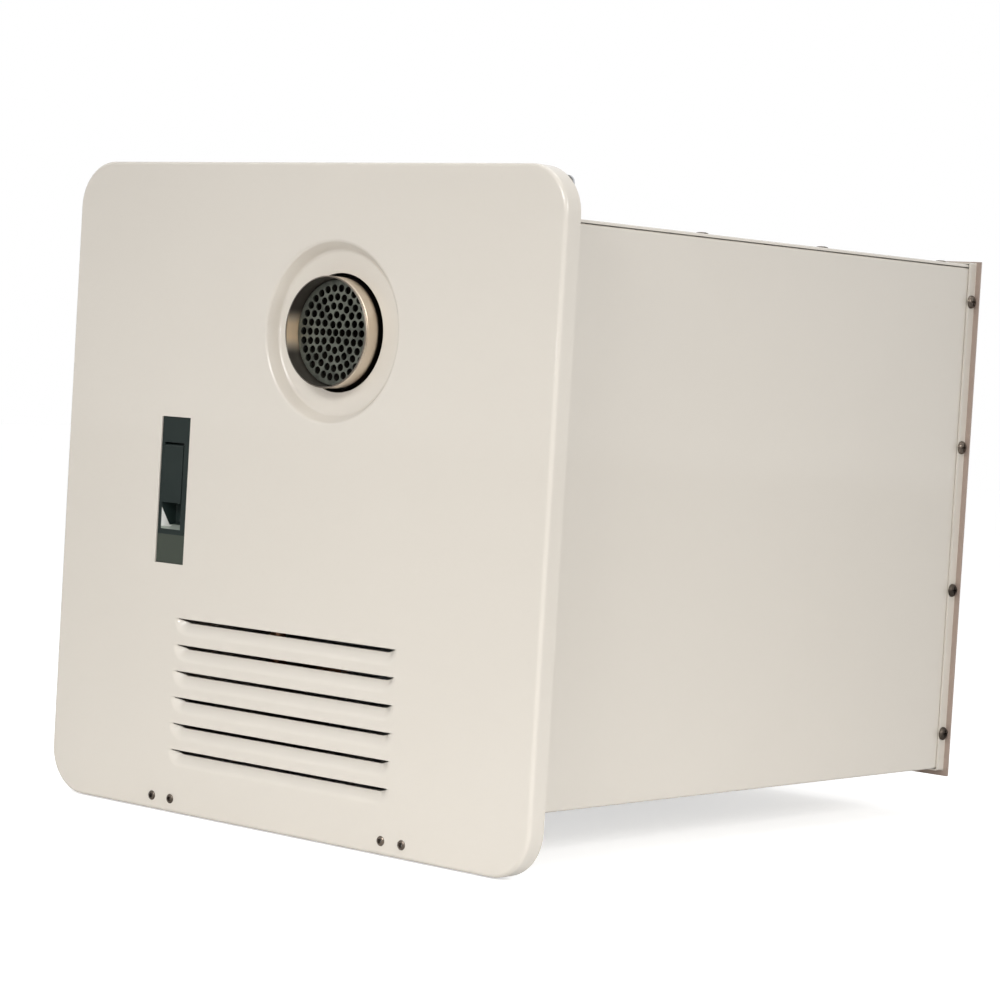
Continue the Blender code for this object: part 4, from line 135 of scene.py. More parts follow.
class Finish:
    def __init__(self, name, roughness=0.5, metallic=0.0, coat=0.0, coatRoughness=0.1):
        self.material = bpy.data.materials.new(name)
        self.material.use_nodes = True
        self.tree = self.material.node_tree
        self.shader = self.tree.nodes["Principled BSDF"]
        self.place = Wire(self, self.node("ShaderNodeTexCoord").outputs["Object"])
        self.put(self.shader, {"Roughness": roughness, "Metallic": metallic, "Coat Weight": coat,
                               "Coat Roughness": coatRoughness})

    def put(self, node, values):
        for name, value in values.items():
            if isinstance(value, Wire):
                self.tree.links.new(value.socket, node.inputs[name])
            else:
                node.inputs[name].default_value = value

    def node(self, kind, settings=None, values=None):
        node = self.tree.nodes.new(kind)
        for name, value in (settings or {}).items():
            if name == "stops":
                while len(node.color_ramp.elements) < len(value):
                    node.color_ramp.elements.new(0.5)
                for element, (position, colour) in zip(node.color_ramp.elements, value):
                    element.position = position
                    element.color = colour
            else:
                setattr(node, name, value)
        self.put(node, values or {})
        return node

    def maths(self, operation, *values):
        node = self.node("ShaderNodeMath", {"operation": operation}, dict(enumerate(values)))
        return Wire(self, node.outputs[0])

    def smooth(self, value, low, high):
        node = self.node("ShaderNodeMapRange", {"interpolation_type": "SMOOTHSTEP"},
                         {"Value": value, "From Min": low, "From Max": high})
        return Wire(self, node.outputs["Result"])

    def stretched(self, stretch):
        node = self.node("ShaderNodeMapping", {}, {"Vector": self.place, "Scale": stretch})
        return Wire(self, node.outputs["Vector"])

    def noise(self, scale, detail=2.0, stretch=None):
        vector = self.stretched(stretch) if stretch else self.place
        node = self.node("ShaderNodeTexNoise", {}, {"Vector": vector, "Scale": scale, "Detail": detail})
        return Wire(self, node.outputs["Fac"])

    def cells(self, scale, output="Distance", feature="F1"):
        node = self.node("ShaderNodeTexVoronoi", {"feature": feature}, {"Vector": self.place, "Scale": scale})
        return Wire(self, node.outputs[output])

    def grey(self, colourWire):
        node = self.node("ShaderNodeSeparateColor", {}, {"Color": colourWire})
        return Wire(self, node.outputs["Red"])

    def axis(self, letter):
        node = self.node("ShaderNodeSeparateXYZ", {}, {"Vector": self.place})
        return Wire(self, node.outputs[letter])

    def mix(self, share, first, second):
        node = self.node("ShaderNodeMix", {"data_type": "RGBA"}, {0: share})
        self.put(node, {6: first, 7: second})
        return Wire(self, node.outputs[2])

    def bump(self, height, strength, distance=0.001, under=None):
        values = {"Height": height, "Strength": strength, "Distance": distance}
        if under:
            values["Normal"] = under
        return Wire(self, self.node("ShaderNodeBump", {}, values).outputs["Normal"])

    def shade(self, **values):
        names = {"colour": "Base Color", "roughness": "Roughness", "metallic": "Metallic", "coat": "Coat Weight",
                 "normal": "Normal"}
        self.put(self.shader, {names[key]: value for key, value in values.items()})
        return self.material


# Colours are linear; a pair is the clean and the worn or shaded tone
finishColours = {
    "paint": ((0.715, 0.665, 0.590, 1), (0.640, 0.590, 0.515, 1)),
    "bareEdge": (0.40, 0.31, 0.26, 1),
    "galvanised": ((0.60, 0.61, 0.62, 1), (0.42, 0.43, 0.45, 1)),
    "stainless": ((0.72, 0.64, 0.54, 1), (0.58, 0.44, 0.29, 1)),
    "soot": ((0.150, 0.158, 0.130, 1), (0.075, 0.079, 0.066, 1)),
    # A near black used as painted shade inside the flue tube, and a gold used there as a painted reflection band
    "burntAndPaintedShade": (0.020, 0.016, 0.013, 1),
    "heatGoldPaintedReflection": (0.85, 0.62, 0.38, 1),
    "steel": ((0.46, 0.46, 0.47, 1), (0.24, 0.24, 0.25, 1)),
    "darkSteel": ((0.17, 0.14, 0.115, 1), (0.030, 0.024, 0.020, 1)),
    "blackPlastic": ((0.012, 0.020, 0.018, 1), (0.022, 0.031, 0.027, 1)),
    "latchPlate": (0.052, 0.062, 0.048, 1),
    # The latch's floor and wedge tones below are painted highlights
    "latchFloorHighlight": (0.34, 0.38, 0.33, 1),
    "latchWedgeHighlight": (0.78, 0.78, 0.74, 1),
    "greyPlastic": ((0.115, 0.120, 0.125, 1), (0.085, 0.088, 0.092, 1)),
    "copper": ((0.72, 0.36, 0.22, 1), (0.33, 0.14, 0.075, 1)),
    "brass": ((0.72, 0.53, 0.25, 1), (0.45, 0.31, 0.13, 1)),
    "aluminium": ((0.62, 0.63, 0.64, 1), (0.47, 0.48, 0.49, 1)),
    "foam": ((0.028, 0.028, 0.030, 1), (0.014, 0.014, 0.015, 1)),
    "board": ((0.012, 0.110, 0.040, 1), (0.030, 0.200, 0.080, 1)),
    "ceramic": ((0.78, 0.76, 0.71, 1), (0.62, 0.58, 0.50, 1)),
    "cable": ((0.018, 0.018, 0.018, 1), (0.032, 0.032, 0.032, 1)),
    "redCable": ((0.36, 0.020, 0.014, 1), (0.24, 0.012, 0.010, 1)),
    "chip": ((0.012, 0.012, 0.013, 1), (0.022, 0.022, 0.023, 1)),
    "plug": ((0.68, 0.66, 0.60, 1), (0.52, 0.50, 0.45, 1)),
}


def paintFinish(name="cream_powder_coat", bareBeyond=None):
    # With bareBeyond, what lies farther than that from the case's middle is uncoated
    clean, worn = finishColours["paint"]
    finish = Finish(name, coat=0.55, coatRoughness=0.06)
    cloud = finish.smooth(finish.noise(7.0, 3.0), 0.35, 0.75)
    dust = finish.smooth(finish.noise(260.0, 2.0), 0.66, 0.74) * 0.25
    peel = finish.noise(420.0, 1.0)
    grain = finish.noise(1900.0, 2.0)
    colour = finish.mix(cloud * 0.12 + dust * 0.3, clean, worn)
    if bareBeyond:
        across, up = (finish.maths("ABSOLUTE", finish.axis(letter)) for letter in "XZ")
        bare = finish.smooth(finish.maths("MAXIMUM", across, up), bareBeyond, bareBeyond + 0.0002)
        colour = finish.mix(bare, colour, finishColours["bareEdge"])
    return finish.shade(colour=colour, roughness=0.30 + cloud * 0.08 + dust * 0.2,
                        normal=finish.bump(peel * 0.8 + grain * 0.2, 0.10, 0.0006))


def galvanisedFinish():
    clean, worn = finishColours["galvanised"]
    finish = Finish("galvanised_sheet", metallic=0.92)
    spangle = finish.grey(finish.cells(140.0, "Color"))
    streak = finish.noise(60.0, 3.0, (1, 1, 6))
    return finish.shade(colour=finish.mix(spangle * 0.55 + streak * 0.3, clean, worn),
                        roughness=0.30 + spangle * 0.18 + streak * 0.08,
                        normal=finish.bump(spangle + finish.noise(900.0) * 0.4, 0.06, 0.0004))


def stainlessFinish():
    clean, worn = finishColours["stainless"]
    finish = Finish("heat_tinted_stainless_with_painted_shade", metallic=1.0)
    brushed = finish.noise(90.0, 4.0, (1, 22, 1))
    tint = finish.smooth(finish.axis("Y"), -0.0185, 0.006)
    patch = finish.smooth(finish.noise(55.0, 3.0), 0.35, 0.7)
    # The tube's inner wall is painted dark above and below a band at mid height, a painted shade, and that band is a
    # gold painted reflection; the wall behind the screen and the lip are darkened too
    across, up = finish.axis("X") - 0.0245, finish.axis("Z") - 0.0932
    inner = 1 - finish.smooth((across ** 2 + up ** 2) ** 0.5, 0.0306, 0.0309)
    ends = finish.smooth(finish.maths("ABSOLUTE", up + 0.0005), 0.003, 0.013)
    lip = 1 - finish.smooth(finish.axis("Y"), -0.0187, -0.0181)
    behind = finish.smooth(finish.axis("Y"), -0.0098, -0.0080)
    # Painted shade: the inner wall above and below its middle goes near black; behind the screen and at the lip it is
    # darkened too
    burntAndPaintedShade = finish.maths("MAXIMUM", finish.maths("MAXIMUM", inner * ends * 0.95, behind * 0.97), lip * 0.8)
    metal = finish.mix(tint * 0.55 + patch * 0.25, clean, worn)
    # Painted reflection: a gold band at mid height of the inner wall
    metal = finish.mix(inner * (1 - ends) * (0.5 + brushed * 0.5), metal, finishColours["heatGoldPaintedReflection"])
    return finish.shade(colour=finish.mix(burntAndPaintedShade, metal, finishColours["burntAndPaintedShade"]), metallic=1 - inner * 0.8,
                        roughness=0.26 + brushed * 0.16 + patch * 0.06,
                        normal=finish.bump(brushed, 0.10, 0.0003))


def sootFinish():
    clean, worn = finishColours["soot"]
    finish = Finish("sooted_stainless", metallic=0.7)
    patch = finish.smooth(finish.noise(150.0, 4.0), 0.35, 0.7)
    return finish.shade(colour=finish.mix(patch, clean, worn), roughness=0.38 + patch * 0.25,
                        normal=finish.bump(finish.noise(1200.0, 2.0), 0.15, 0.0003))


def metalFinish(name, tones, roughness, grainScale, stretch=None, wear=0.6):
    clean, worn = finishColours[tones]
    finish = Finish(name, metallic=1.0)
    patch = finish.smooth(finish.noise(38.0, 4.0), 0.40, 0.75)
    grain = finish.noise(grainScale, 3.0, stretch)
    return finish.shade(colour=finish.mix(patch * wear + grain * 0.12, clean, worn),
                        roughness=roughness + patch * 0.16 + grain * 0.08,
                        normal=finish.bump(grain, 0.12, 0.0004))


def plasticFinish(name, tones, roughness, grainScale, depth, coat=0.0, specular=0.5):
    clean, worn = finishColours[tones]
    finish = Finish(name, coat=coat, coatRoughness=0.08)
    finish.put(finish.shader, {"Specular IOR Level": specular})
    cloud = finish.smooth(finish.noise(30.0, 3.0), 0.40, 0.75)
    grain = finish.noise(grainScale, 2.0)
    return finish.shade(colour=finish.mix(cloud * 0.5, clean, worn), roughness=roughness + cloud * 0.08,
                        normal=finish.bump(grain, depth, 0.0004))


def latchFinish():
    # The lower plate is paler than the rest; the scoop's floor and a wedge of its left wall carry painted highlights,
    # pale tones that stand in for reflections
    clean, worn = finishColours["blackPlastic"]
    finish = Finish("two_tone_moulding_with_painted_highlights")
    finish.put(finish.shader, {"Specular IOR Level": 0.22})
    across, deep, up = (finish.axis(letter) for letter in "XYZ")
    inside = finish.smooth(deep, -0.0134, -0.0131) * finish.smooth(up, -0.0295, -0.0292)
    plate = 1 - finish.smooth(up, -0.0305, -0.0300)
    # Painted highlight over the scoop's floor
    floor = inside * (1 - finish.smooth(up, -0.0250, -0.0246))
    # Painted highlight: a pale wedge on the scoop's left wall
    wedgeHighlight = 1 - finish.smooth(deep + 0.0136 + (up + 0.0140) * 0.48, -0.0002, 0.0002)
    wedgeHighlight = inside * wedgeHighlight * (1 - finish.smooth(across, -0.1018, -0.1012)) * finish.smooth(up, -0.0262, -0.0256)
    cloud = finish.smooth(finish.noise(30.0, 3.0), 0.40, 0.75)
    colour = finish.mix(plate, finish.mix(cloud * 0.5, clean, worn), finishColours["latchPlate"])
    colour = finish.mix(floor, colour, finishColours["latchFloorHighlight"])
    return finish.shade(colour=finish.mix(wedgeHighlight, colour, finishColours["latchWedgeHighlight"]), roughness=0.30 + cloud * 0.08,
                        normal=finish.bump(finish.noise(1500.0), 0.10, 0.0004))


def foamFinish():
    clean, worn = finishColours["foam"]
    finish = Finish("closed_cell_foam")
    pore = finish.cells(900.0)
    return finish.shade(colour=finish.mix(finish.smooth(pore, 0.1, 0.6), worn, clean), roughness=0.92,
                        normal=finish.bump(pore, 0.5, 0.0004))


def boardFinish():
    clean, worn = finishColours["board"]
    finish = Finish("green_solder_mask", coat=0.5, coatRoughness=0.12)
    track = finish.node("ShaderNodeTexBrick", {"offset": 0.5},
                        {"Vector": finish.stretched((160, 1, 90)), "Scale": 1.0, "Mortar Size": 0.10,
                         "Color1": (0, 0, 0, 1), "Color2": (0, 0, 0, 1), "Mortar": (1, 1, 1, 1)})
    line = finish.grey(Wire(finish, track.outputs["Color"]))
    return finish.shade(colour=finish.mix(line, clean, worn), roughness=0.35 + line * 0.1,
                        normal=finish.bump(line, 0.2, 0.0002))


finishes = {
    "paint": paintFinish(),
    "rearPaint": paintFinish("cream_powder_coat_with_bare_lip", 0.1634),
    "galvanised": galvanisedFinish(),
    "stainless": stainlessFinish(),
    "soot": sootFinish(),
    "steel": metalFinish("plain_steel", "steel", 0.28, 500.0),
    "darkSteel": metalFinish("browned_steel", "darkSteel", 0.22, 500.0, None, 0.9),
    "copper": metalFinish("drawn_copper", "copper", 0.24, 160.0, (1, 1, 14)),
    "brass": metalFinish("machined_brass", "brass", 0.24, 240.0, (1, 8, 1)),
    "aluminium": metalFinish("cast_aluminium", "aluminium", 0.42, 1100.0, None, 0.35),
    "blackPlastic": plasticFinish("black_moulding", "blackPlastic", 0.30, 1500.0, 0.10, specular=0.22),
    "latch": latchFinish(),
    "blackMatt": plasticFinish("black_grained_moulding", "blackPlastic", 0.48, 1100.0, 0.30),
    "greyPlastic": plasticFinish("grey_moulding", "greyPlastic", 0.42, 1300.0, 0.22),
    "cable": plasticFinish("cable_sheath", "cable", 0.50, 900.0, 0.25),
    "redCable": plasticFinish("silicone_lead", "redCable", 0.45, 900.0, 0.18),
    "ceramic": plasticFinish("glazed_ceramic", "ceramic", 0.22, 700.0, 0.08, 0.3),
    "chip": plasticFinish("chip_package", "chip", 0.45, 1200.0, 0.2),
    "plug": plasticFinish("nylon_plug", "plug", 0.40, 900.0, 0.15),
    "foam": foamFinish(),
    "board": boardFinish(),
}
print("finishes made")


def roundSteps(centre, radius, first, last, steps):
    points = []
    for step in range(steps + 1):
        angle = first + (last - first) * step / steps
        points.append((centre[0] + radius * math.cos(angle), centre[1] + radius * math.sin(angle)))
    return points


def spun(profile, steps, closed=False):
    # A profile of (radius, height) points turned once round Z
    shape = bmesh.new()
    verts = [shape.verts.new((radius, 0, height)) for radius, height in profile]
    edges = [shape.edges.new(pair) for pair in zip(verts, verts[1:])]
    if closed:
        edges.append(shape.edges.new((verts[-1], verts[0])))
    bmesh.ops.spin(shape, geom=verts + edges, cent=(0, 0, 0), axis=(0, 0, 1), angle=2 * math.pi, steps=steps,
                   use_merge=True, use_duplicate=False)
    bmesh.ops.remove_doubles(shape, verts=shape.verts, dist=weld)
    bmesh.ops.recalc_face_normals(shape, faces=shape.faces)
    return shape


def blockShape(low, high, bevel=0.0, segments=2):
    shape = bmesh.new()
    low, high = Vector(low), Vector(high)
    bmesh.ops.create_cube(shape, size=1)
    bmesh.ops.scale(shape, vec=high - low, verts=shape.verts)
    bmesh.ops.translate(shape, vec=(low + high) / 2, verts=shape.verts)
    if bevel:
        softened(shape, bevel, segments)
    return shape


def softened(shape, offset, segments=2, limit=30):
    edges = [edge for edge in shape.edges if edge.is_manifold and edge.calc_face_angle(0) > math.radians(limit)]
    if edges:
        bmesh.ops.bevel(shape, geom=edges, offset=offset, segments=segments, profile=0.5, affect="EDGES",
                        material=-1, clamp_overlap=True)
    return shape


def turnedTo(shape, along, centre):
    turns = {"X": Euler((0, math.pi / 2, 0)), "Y": Euler((-math.pi / 2, 0, 0)), "Z": Euler((0, 0, 0)),
             "-X": Euler((0, -math.pi / 2, 0)), "-Y": Euler((math.pi / 2, 0, 0)), "-Z": Euler((math.pi, 0, 0))}
    bmesh.ops.transform(shape, matrix=Matrix.Translation(centre) @ turns[along].to_matrix().to_4x4(),
                        verts=shape.verts)
    return shape


def rodShape(radius, length, along, centre, steps=24, bevel=0.0):
    half = length / 2
    corner = [(radius - bevel, half), (radius, half - bevel), (radius, bevel - half), (radius - bevel, -half)]
    return turnedTo(spun([(0, half)] + corner + [(0, -half)], steps), along, centre)


def hexShape(radius, length, along, centre, bevel=0.0005):
    shape = bmesh.new()
    bmesh.ops.create_cone(shape, cap_ends=True, segments=6, radius1=radius, radius2=radius, depth=length)
    return turnedTo(softened(shape, bevel), along, centre)


def prismShape(outline, first, last, along="Y"):
    # A flat outline of (across, up) points, drawn out from first to last along an axis
    places = {"X": lambda across, up: (first, across, up), "Y": lambda across, up: (across, first, up),
              "Z": lambda across, up: (across, up, first)}
    shape = bmesh.new()
    face = shape.faces.new([shape.verts.new(places[along](across, up)) for across, up in outline])
    parts = bmesh.ops.extrude_face_region(shape, geom=[face])["geom"]
    step = Vector([last - first if letter == along else 0 for letter in "XYZ"])
    bmesh.ops.translate(shape, vec=step, verts=[part for part in parts if isinstance(part, bmesh.types.BMVert)])
    bmesh.ops.recalc_face_normals(shape, faces=shape.faces)
    return shape


def bentStrip(corners, sheet, bend, steps):
    # The outline of a sheet bent at right angles; the corners follow its outer face
    corners = [Vector(corner) for corner in corners]
    outer = [corners[0]]
    inner = [corners[0] + (corners[2] - corners[1]).normalized() * sheet]
    for before, corner, after in zip(corners, corners[1:], corners[2:]):
        back, ahead = (before - corner).normalized(), (after - corner).normalized()
        centre = corner + (back + ahead) * bend
        for step in range(steps + 1):
            angle = step / steps * math.pi / 2
            reach = -ahead * math.cos(angle) - back * math.sin(angle)
            outer.append(centre + reach * bend)
            inner.append(centre + reach * (bend - sheet))
    outer.append(corners[-1])
    inner.append(corners[-1] + (corners[-3] - corners[-2]).normalized() * sheet)
    return outer + inner[::-1]


def routePoints(corners, bend, steps):
    # Straight runs with an arc at each inner corner
    points = [Vector(corners[0])]
    for before, corner, after in zip(corners, corners[1:], corners[2:]):
        before, corner, after = Vector(before), Vector(corner), Vector(after)
        back, ahead = (before - corner).normalized(), (after - corner).normalized()
        half = back.angle(ahead) / 2
        centre = corner + (back + ahead).normalized() * bend / math.sin(half)
        start = corner + back * bend / math.tan(half) - centre
        end = corner + ahead * bend / math.tan(half) - centre
        for step in range(steps + 1):
            points.append(centre + Matrix.Rotation(start.angle(end) * step / steps, 3, start.cross(end)) @ start)
    return points + [Vector(corners[-1])]


def tubeShape(points, radius, resolution=8):
    curve = bpy.data.curves.new("route", "CURVE")
    curve.dimensions = "3D"
    curve.bevel_depth = radius
    curve.bevel_resolution = resolution
    curve.use_fill_caps = True
    spline = curve.splines.new("POLY")
    spline.points.add(len(points) - 1)
    for point, place in zip(spline.points, points):
        point.co = (*place, 1)
    piece = bpy.data.objects.new("route", curve)
    bpy.context.scene.collection.objects.link(piece)
    shape = evaluatedShape(piece)
    bmesh.ops.remove_doubles(shape, verts=shape.verts, dist=weld)
    bmesh.ops.recalc_face_normals(shape, faces=shape.faces)
    return shape


def screwShape(radius, height, steps=24):
    # A pan head that stands on Z = 0, with a cross recess
    profile = [(0, height), (0.45 * radius, 0.98 * height), (0.78 * radius, 0.84 * height),
               (0.95 * radius, 0.55 * height), (radius, 0.25 * height), (radius, 0), (0, 0)]
    long, short = 0.56 * radius, 0.13 * radius
    slots = [blockShape((-long, -short, 0.35 * height), (long, short, 2 * height)),
             blockShape((-short, -long, 0.35 * height), (short, long, 2 * height))]
    return carved(spun(profile, steps), slots)


def scattered(shape, places):
    # Copies of one shape, each turned along its axis and put in its place
    copies = [turnedTo(shape.copy(), along, place) for along, place in places]
    shape.free()
    return gathered(copies)


def gathered(shapes):
    # Several shapes as one; the meshes they came from are freed
    total = bmesh.new()
    for shape in shapes:
        mesh = bpy.data.meshes.new("part")
        shape.to_mesh(mesh)
        shape.free()
        total.from_mesh(mesh)
        bpy.data.meshes.remove(mesh)
    return total


def objectOf(shape, name="tool"):
    mesh = bpy.data.meshes.new(name)
    shape.to_mesh(mesh)
    shape.free()
    piece = bpy.data.objects.new(name, mesh)
    bpy.context.scene.collection.objects.link(piece)
    return piece


def evaluatedShape(piece):
    # The mesh of an object with its modifiers, back as a bmesh; the object goes
    graph = bpy.context.evaluated_depsgraph_get()
    mesh = bpy.data.meshes.new_from_object(piece.evaluated_get(graph))
    shape = bmesh.new()
    shape.from_mesh(mesh)
    bpy.data.objects.remove(piece)
    bpy.data.meshes.remove(mesh)
    return shape


def carved(shape, tools, operation="DIFFERENCE"):
    piece = objectOf(shape)
    cutters = [objectOf(tool) for tool in tools]
    for cutter in cutters:
        modifier = piece.modifiers.new(cutter.name, "BOOLEAN")
        modifier.operation = operation
        modifier.solver = "EXACT"
        modifier.object = cutter
    shape = evaluatedShape(piece)
    for cutter in cutters:
        bpy.data.objects.remove(cutter)
    bmesh.ops.remove_doubles(shape, verts=shape.verts, dist=weld)
    return shape


def nodeShape(node):
    # A merged copy of a CAD node, its flat faces whole
    shape = bmesh.new()
    shape.from_mesh(frame["nodes"][node].data)
    bmesh.ops.remove_doubles(shape, verts=shape.verts, dist=weld)
    bmesh.ops.dissolve_limit(shape, angle_limit=math.radians(0.4), verts=shape.verts, edges=shape.edges)
    return shape


def dress(shape, name, body, finish, stands=(), angle=34):
    # Turns a shape into a finished piece that rides on its body
    piece = objectOf(shape, name)
    piece.data.materials.append(finishes[finish])
    piece.data.shade_smooth()
    piece.data.set_sharp_from_angle(angle=math.radians(angle))
    normals = piece.modifiers.new("face_weighted", "WEIGHTED_NORMAL")
    normals.keep_sharp = True
    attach(piece, body)
    if stands:
        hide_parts(*stands)
    return piece


# Nodes whose solid has the right form: a merged copy with soft edges takes their place.
# Each gives its finish, edge radius and the angle up to which faces shade as one.
plainPieces = {
    "door_gasket": ("foam", 0.0012, 40),
    "latch_housing": ("latch", 0.00022, 30),
    "latch_paddle": ("blackPlastic", 0.00035, 30),
    "latch_pin": ("steel", 0.00015, 40),
    "latch_keeper": ("steel", 0.0002, 30),
    "keeper_bar": ("galvanised", 0.0003, 30),
    "air_plenum": ("galvanised", 0.0003, 30),
    "burner_box": ("galvanised", 0.0003, 30),
    "burner_bars": ("stainless", 0.0004, 30),
    "combustion_chamber": ("copper", 0.0003, 30),
    "heat_exchanger_shell": ("copper", 0.0003, 30),
    "heat_exchanger_fins": ("copper", 0.0002, 30),
    "exhaust_hood": ("galvanised", 0.0003, 30),
    "blower_housing": ("galvanised", 0.0003, 30),
    "blower_impeller": ("aluminium", 0.0001, 30),
    "gas_valve": ("aluminium", 0.0018, 30),
    "valve_bracket": ("galvanised", 0.0003, 30),
    "flow_sensor": ("greyPlastic", 0.0004, 40),
    "flow_rotor": ("ceramic", 0.00015, 30),
    "control_box": ("blackMatt", 0.0005, 30),
    "control_cover": ("blackMatt", 0.0005, 30),
    "hinge_door_leaf_left": ("galvanised", 0.00018, 34),
    "hinge_door_leaf_right": ("galvanised", 0.00018, 34),
    "hinge_case_leaf_left": ("galvanised", 0.00018, 34),
    "hinge_case_leaf_right": ("galvanised", 0.00018, 34),
    "switch_frame": ("blackPlastic", 0.0005, 30),
    "power_rocker": ("greyPlastic", 0.0004, 20),
    "spark_module": ("blackMatt", 0.0010, 30),
}


def dressPlainPieces():
    for node, (finish, offset, angle) in plainPieces.items():
        shape = softened(nodeShape(node), offset, 2, angle)
        dress(shape, node + "_dressed", bodyOf[node], finish, [node], angle)


dressPlainPieces()
print("plain pieces dressed")

door = {
    "size": 0.381,
    "front": -0.0142,
    "back": -0.0022,
    "drop": 0.0023,
    "sheet": 0.001,
    "cornerRadius": 0.027,
    "edgeRadius": 0.0024,
    "cornerSteps": 14,
    "edgeSteps": 8,
    "bowlX": 0.0245,
    "bowlZ": 0.0932,
    "bowlRadius": 0.0525,
    "bowlDepth": 0.007,
    "rollRadius": 0.0024,
    "filletRadius": 0.0030,
    "wallAngle": math.radians(56),
    "bowlSteps": 96,
    "tubeClearance": 0.0023,
    "louvreCount": 6,
    "louvreLeft": -0.0895,
    "louvreRight": 0.0895,
    "louvreTop": -0.0788,
    "louvrePitch": 0.0154,
    "louvreHeight": 0.0105,
    "louvreDepth": 0.0042,
    "louvreSlit": 0.0026,
    "louvreEndSteps": 10,
    "louvreFallSteps": 8,
    "latchX": -0.0965,
    "latchZ": -0.0042,
    "latchWidth": 0.024,
    "latchHeight": 0.0862,
    "hingeSpread": 0.0923,
    "hingeNotch": 0.037,
    "hingeNotchFront": -0.0077,
    "rivetSpacing": 0.0155,
    "rivetRise": 0.008,
    "rivetRadius": 0.0016,
    "tubeRadius": 0.0313,
}


def doorTray():
    shape = bmesh.new()
    bmesh.ops.create_grid(shape, x_segments=1, y_segments=1, size=door["size"] / 2)
    bmesh.ops.bevel(shape, geom=shape.verts[:], offset=door["cornerRadius"], segments=door["cornerSteps"],
                    profile=0.5, affect="VERTICES", material=-1)
    bmesh.ops.rotate(shape, cent=(0, 0, 0), matrix=Matrix.Rotation(math.pi / 2, 3, "X"), verts=shape.verts)
    bmesh.ops.translate(shape, vec=(0, door["back"], -door["drop"]), verts=shape.verts)
    depth = door["back"] - door["front"]
    front = bmesh.ops.extrude_face_region(shape, geom=shape.faces[:])["geom"]
    bmesh.ops.translate(shape, vec=(0, -depth, 0), verts=[part for part in front if isinstance(part, bmesh.types.BMVert)])
    shape.faces.ensure_lookup_table()
    backs = [face for face in shape.faces if abs(face.calc_center_median().y - door["back"]) < weld]
    bmesh.ops.delete(shape, geom=backs, context="FACES_ONLY")
    bmesh.ops.recalc_face_normals(shape, faces=shape.faces)
    face = next(face for face in shape.faces if abs(face.calc_center_median().y - door["front"]) < weld)
    if face.normal.y > 0:
        bmesh.ops.reverse_faces(shape, faces=shape.faces)
    bmesh.ops.bevel(shape, geom=list(face.edges), offset=door["edgeRadius"], segments=door["edgeSteps"],
                    profile=0.5, affect="EDGES", material=-1)
    piece = objectOf(shape)
    wall = piece.modifiers.new("sheet", "SOLIDIFY")
    wall.thickness = door["sheet"]
    wall.offset = -1
    wall.use_even_offset = True
    return evaluatedShape(piece)


def bowlShape(grown, mouth):
    slope = door["wallAngle"]
    bends = door["rollRadius"] + door["filletRadius"]
    wall = (door["bowlDepth"] - bends * (1 - math.cos(slope))) / math.sin(slope)
    floorRadius = door["bowlRadius"] - bends * math.sin(slope) - wall * math.cos(slope)
    quarter = math.pi / 2
    profile = [(0, door["bowlDepth"] + grown)]
    profile += roundSteps((floorRadius, door["bowlDepth"] - door["filletRadius"]), door["filletRadius"] + grown,
                          quarter, quarter - slope, 6)
    profile += roundSteps((door["bowlRadius"], door["rollRadius"]), door["rollRadius"] - grown, -quarter - slope,
                          -quarter, 6)
    profile += [(door["bowlRadius"], mouth), (0, mouth)]
    return turnedTo(spun(profile, door["bowlSteps"]), "Y", (door["bowlX"], door["front"], door["bowlZ"]))


def louvreShape(index, reach, depth, base, front, rise, lift):
    # Lift raises the two ends, which closes the slit there
    shape = bmesh.new()
    profile = [(0, front)]
    for step in range(door["louvreFallSteps"] + 1):
        along = step / door["louvreFallSteps"]
        fall = (1 + math.cos(math.pi * along)) / 2
        profile.append((-reach * along, base + (depth - base) * fall))
    if front < base:
        profile.append((-reach, front))
    start = shape.faces.new([shape.verts.new((across, deep, 0)) for across, deep in profile])
    run = Vector((door["louvreRight"] - door["louvreLeft"] - 2 * door["louvreHeight"], 0, 0))
    turn = {"axis": (0, -1, 0), "angle": math.pi / 2, "steps": door["louvreEndSteps"]}
    end = bmesh.ops.spin(shape, geom=[start], cent=(0, 0, 0), **turn)["geom_last"]
    end = [part for part in end if isinstance(part, bmesh.types.BMFace)]
    ahead = bmesh.ops.extrude_face_region(shape, geom=end)["geom"]
    bmesh.ops.translate(shape, vec=run, verts=[part for part in ahead if isinstance(part, bmesh.types.BMVert)])
    ahead = [part for part in ahead if isinstance(part, bmesh.types.BMFace)]
    bmesh.ops.spin(shape, geom=ahead, cent=run, **turn)
    bmesh.ops.delete(shape, geom=end + ahead, context="FACES_ONLY")
    bmesh.ops.remove_doubles(shape, verts=shape.verts, dist=weld)
    bmesh.ops.recalc_face_normals(shape, faces=shape.faces)
    for vert in shape.verts:
        near = min(vert.co.x, run.x - vert.co.x) / reach + 1
        vert.co.z += lift * math.cos(math.pi / 2 * min(max(near, 0), 1))
    top = door["louvreTop"] - index * door["louvrePitch"] - door["drop"] + rise
    bmesh.ops.translate(shape, vec=(door["louvreLeft"] + door["louvreHeight"], door["front"], top),
                        verts=shape.verts)
    return shape


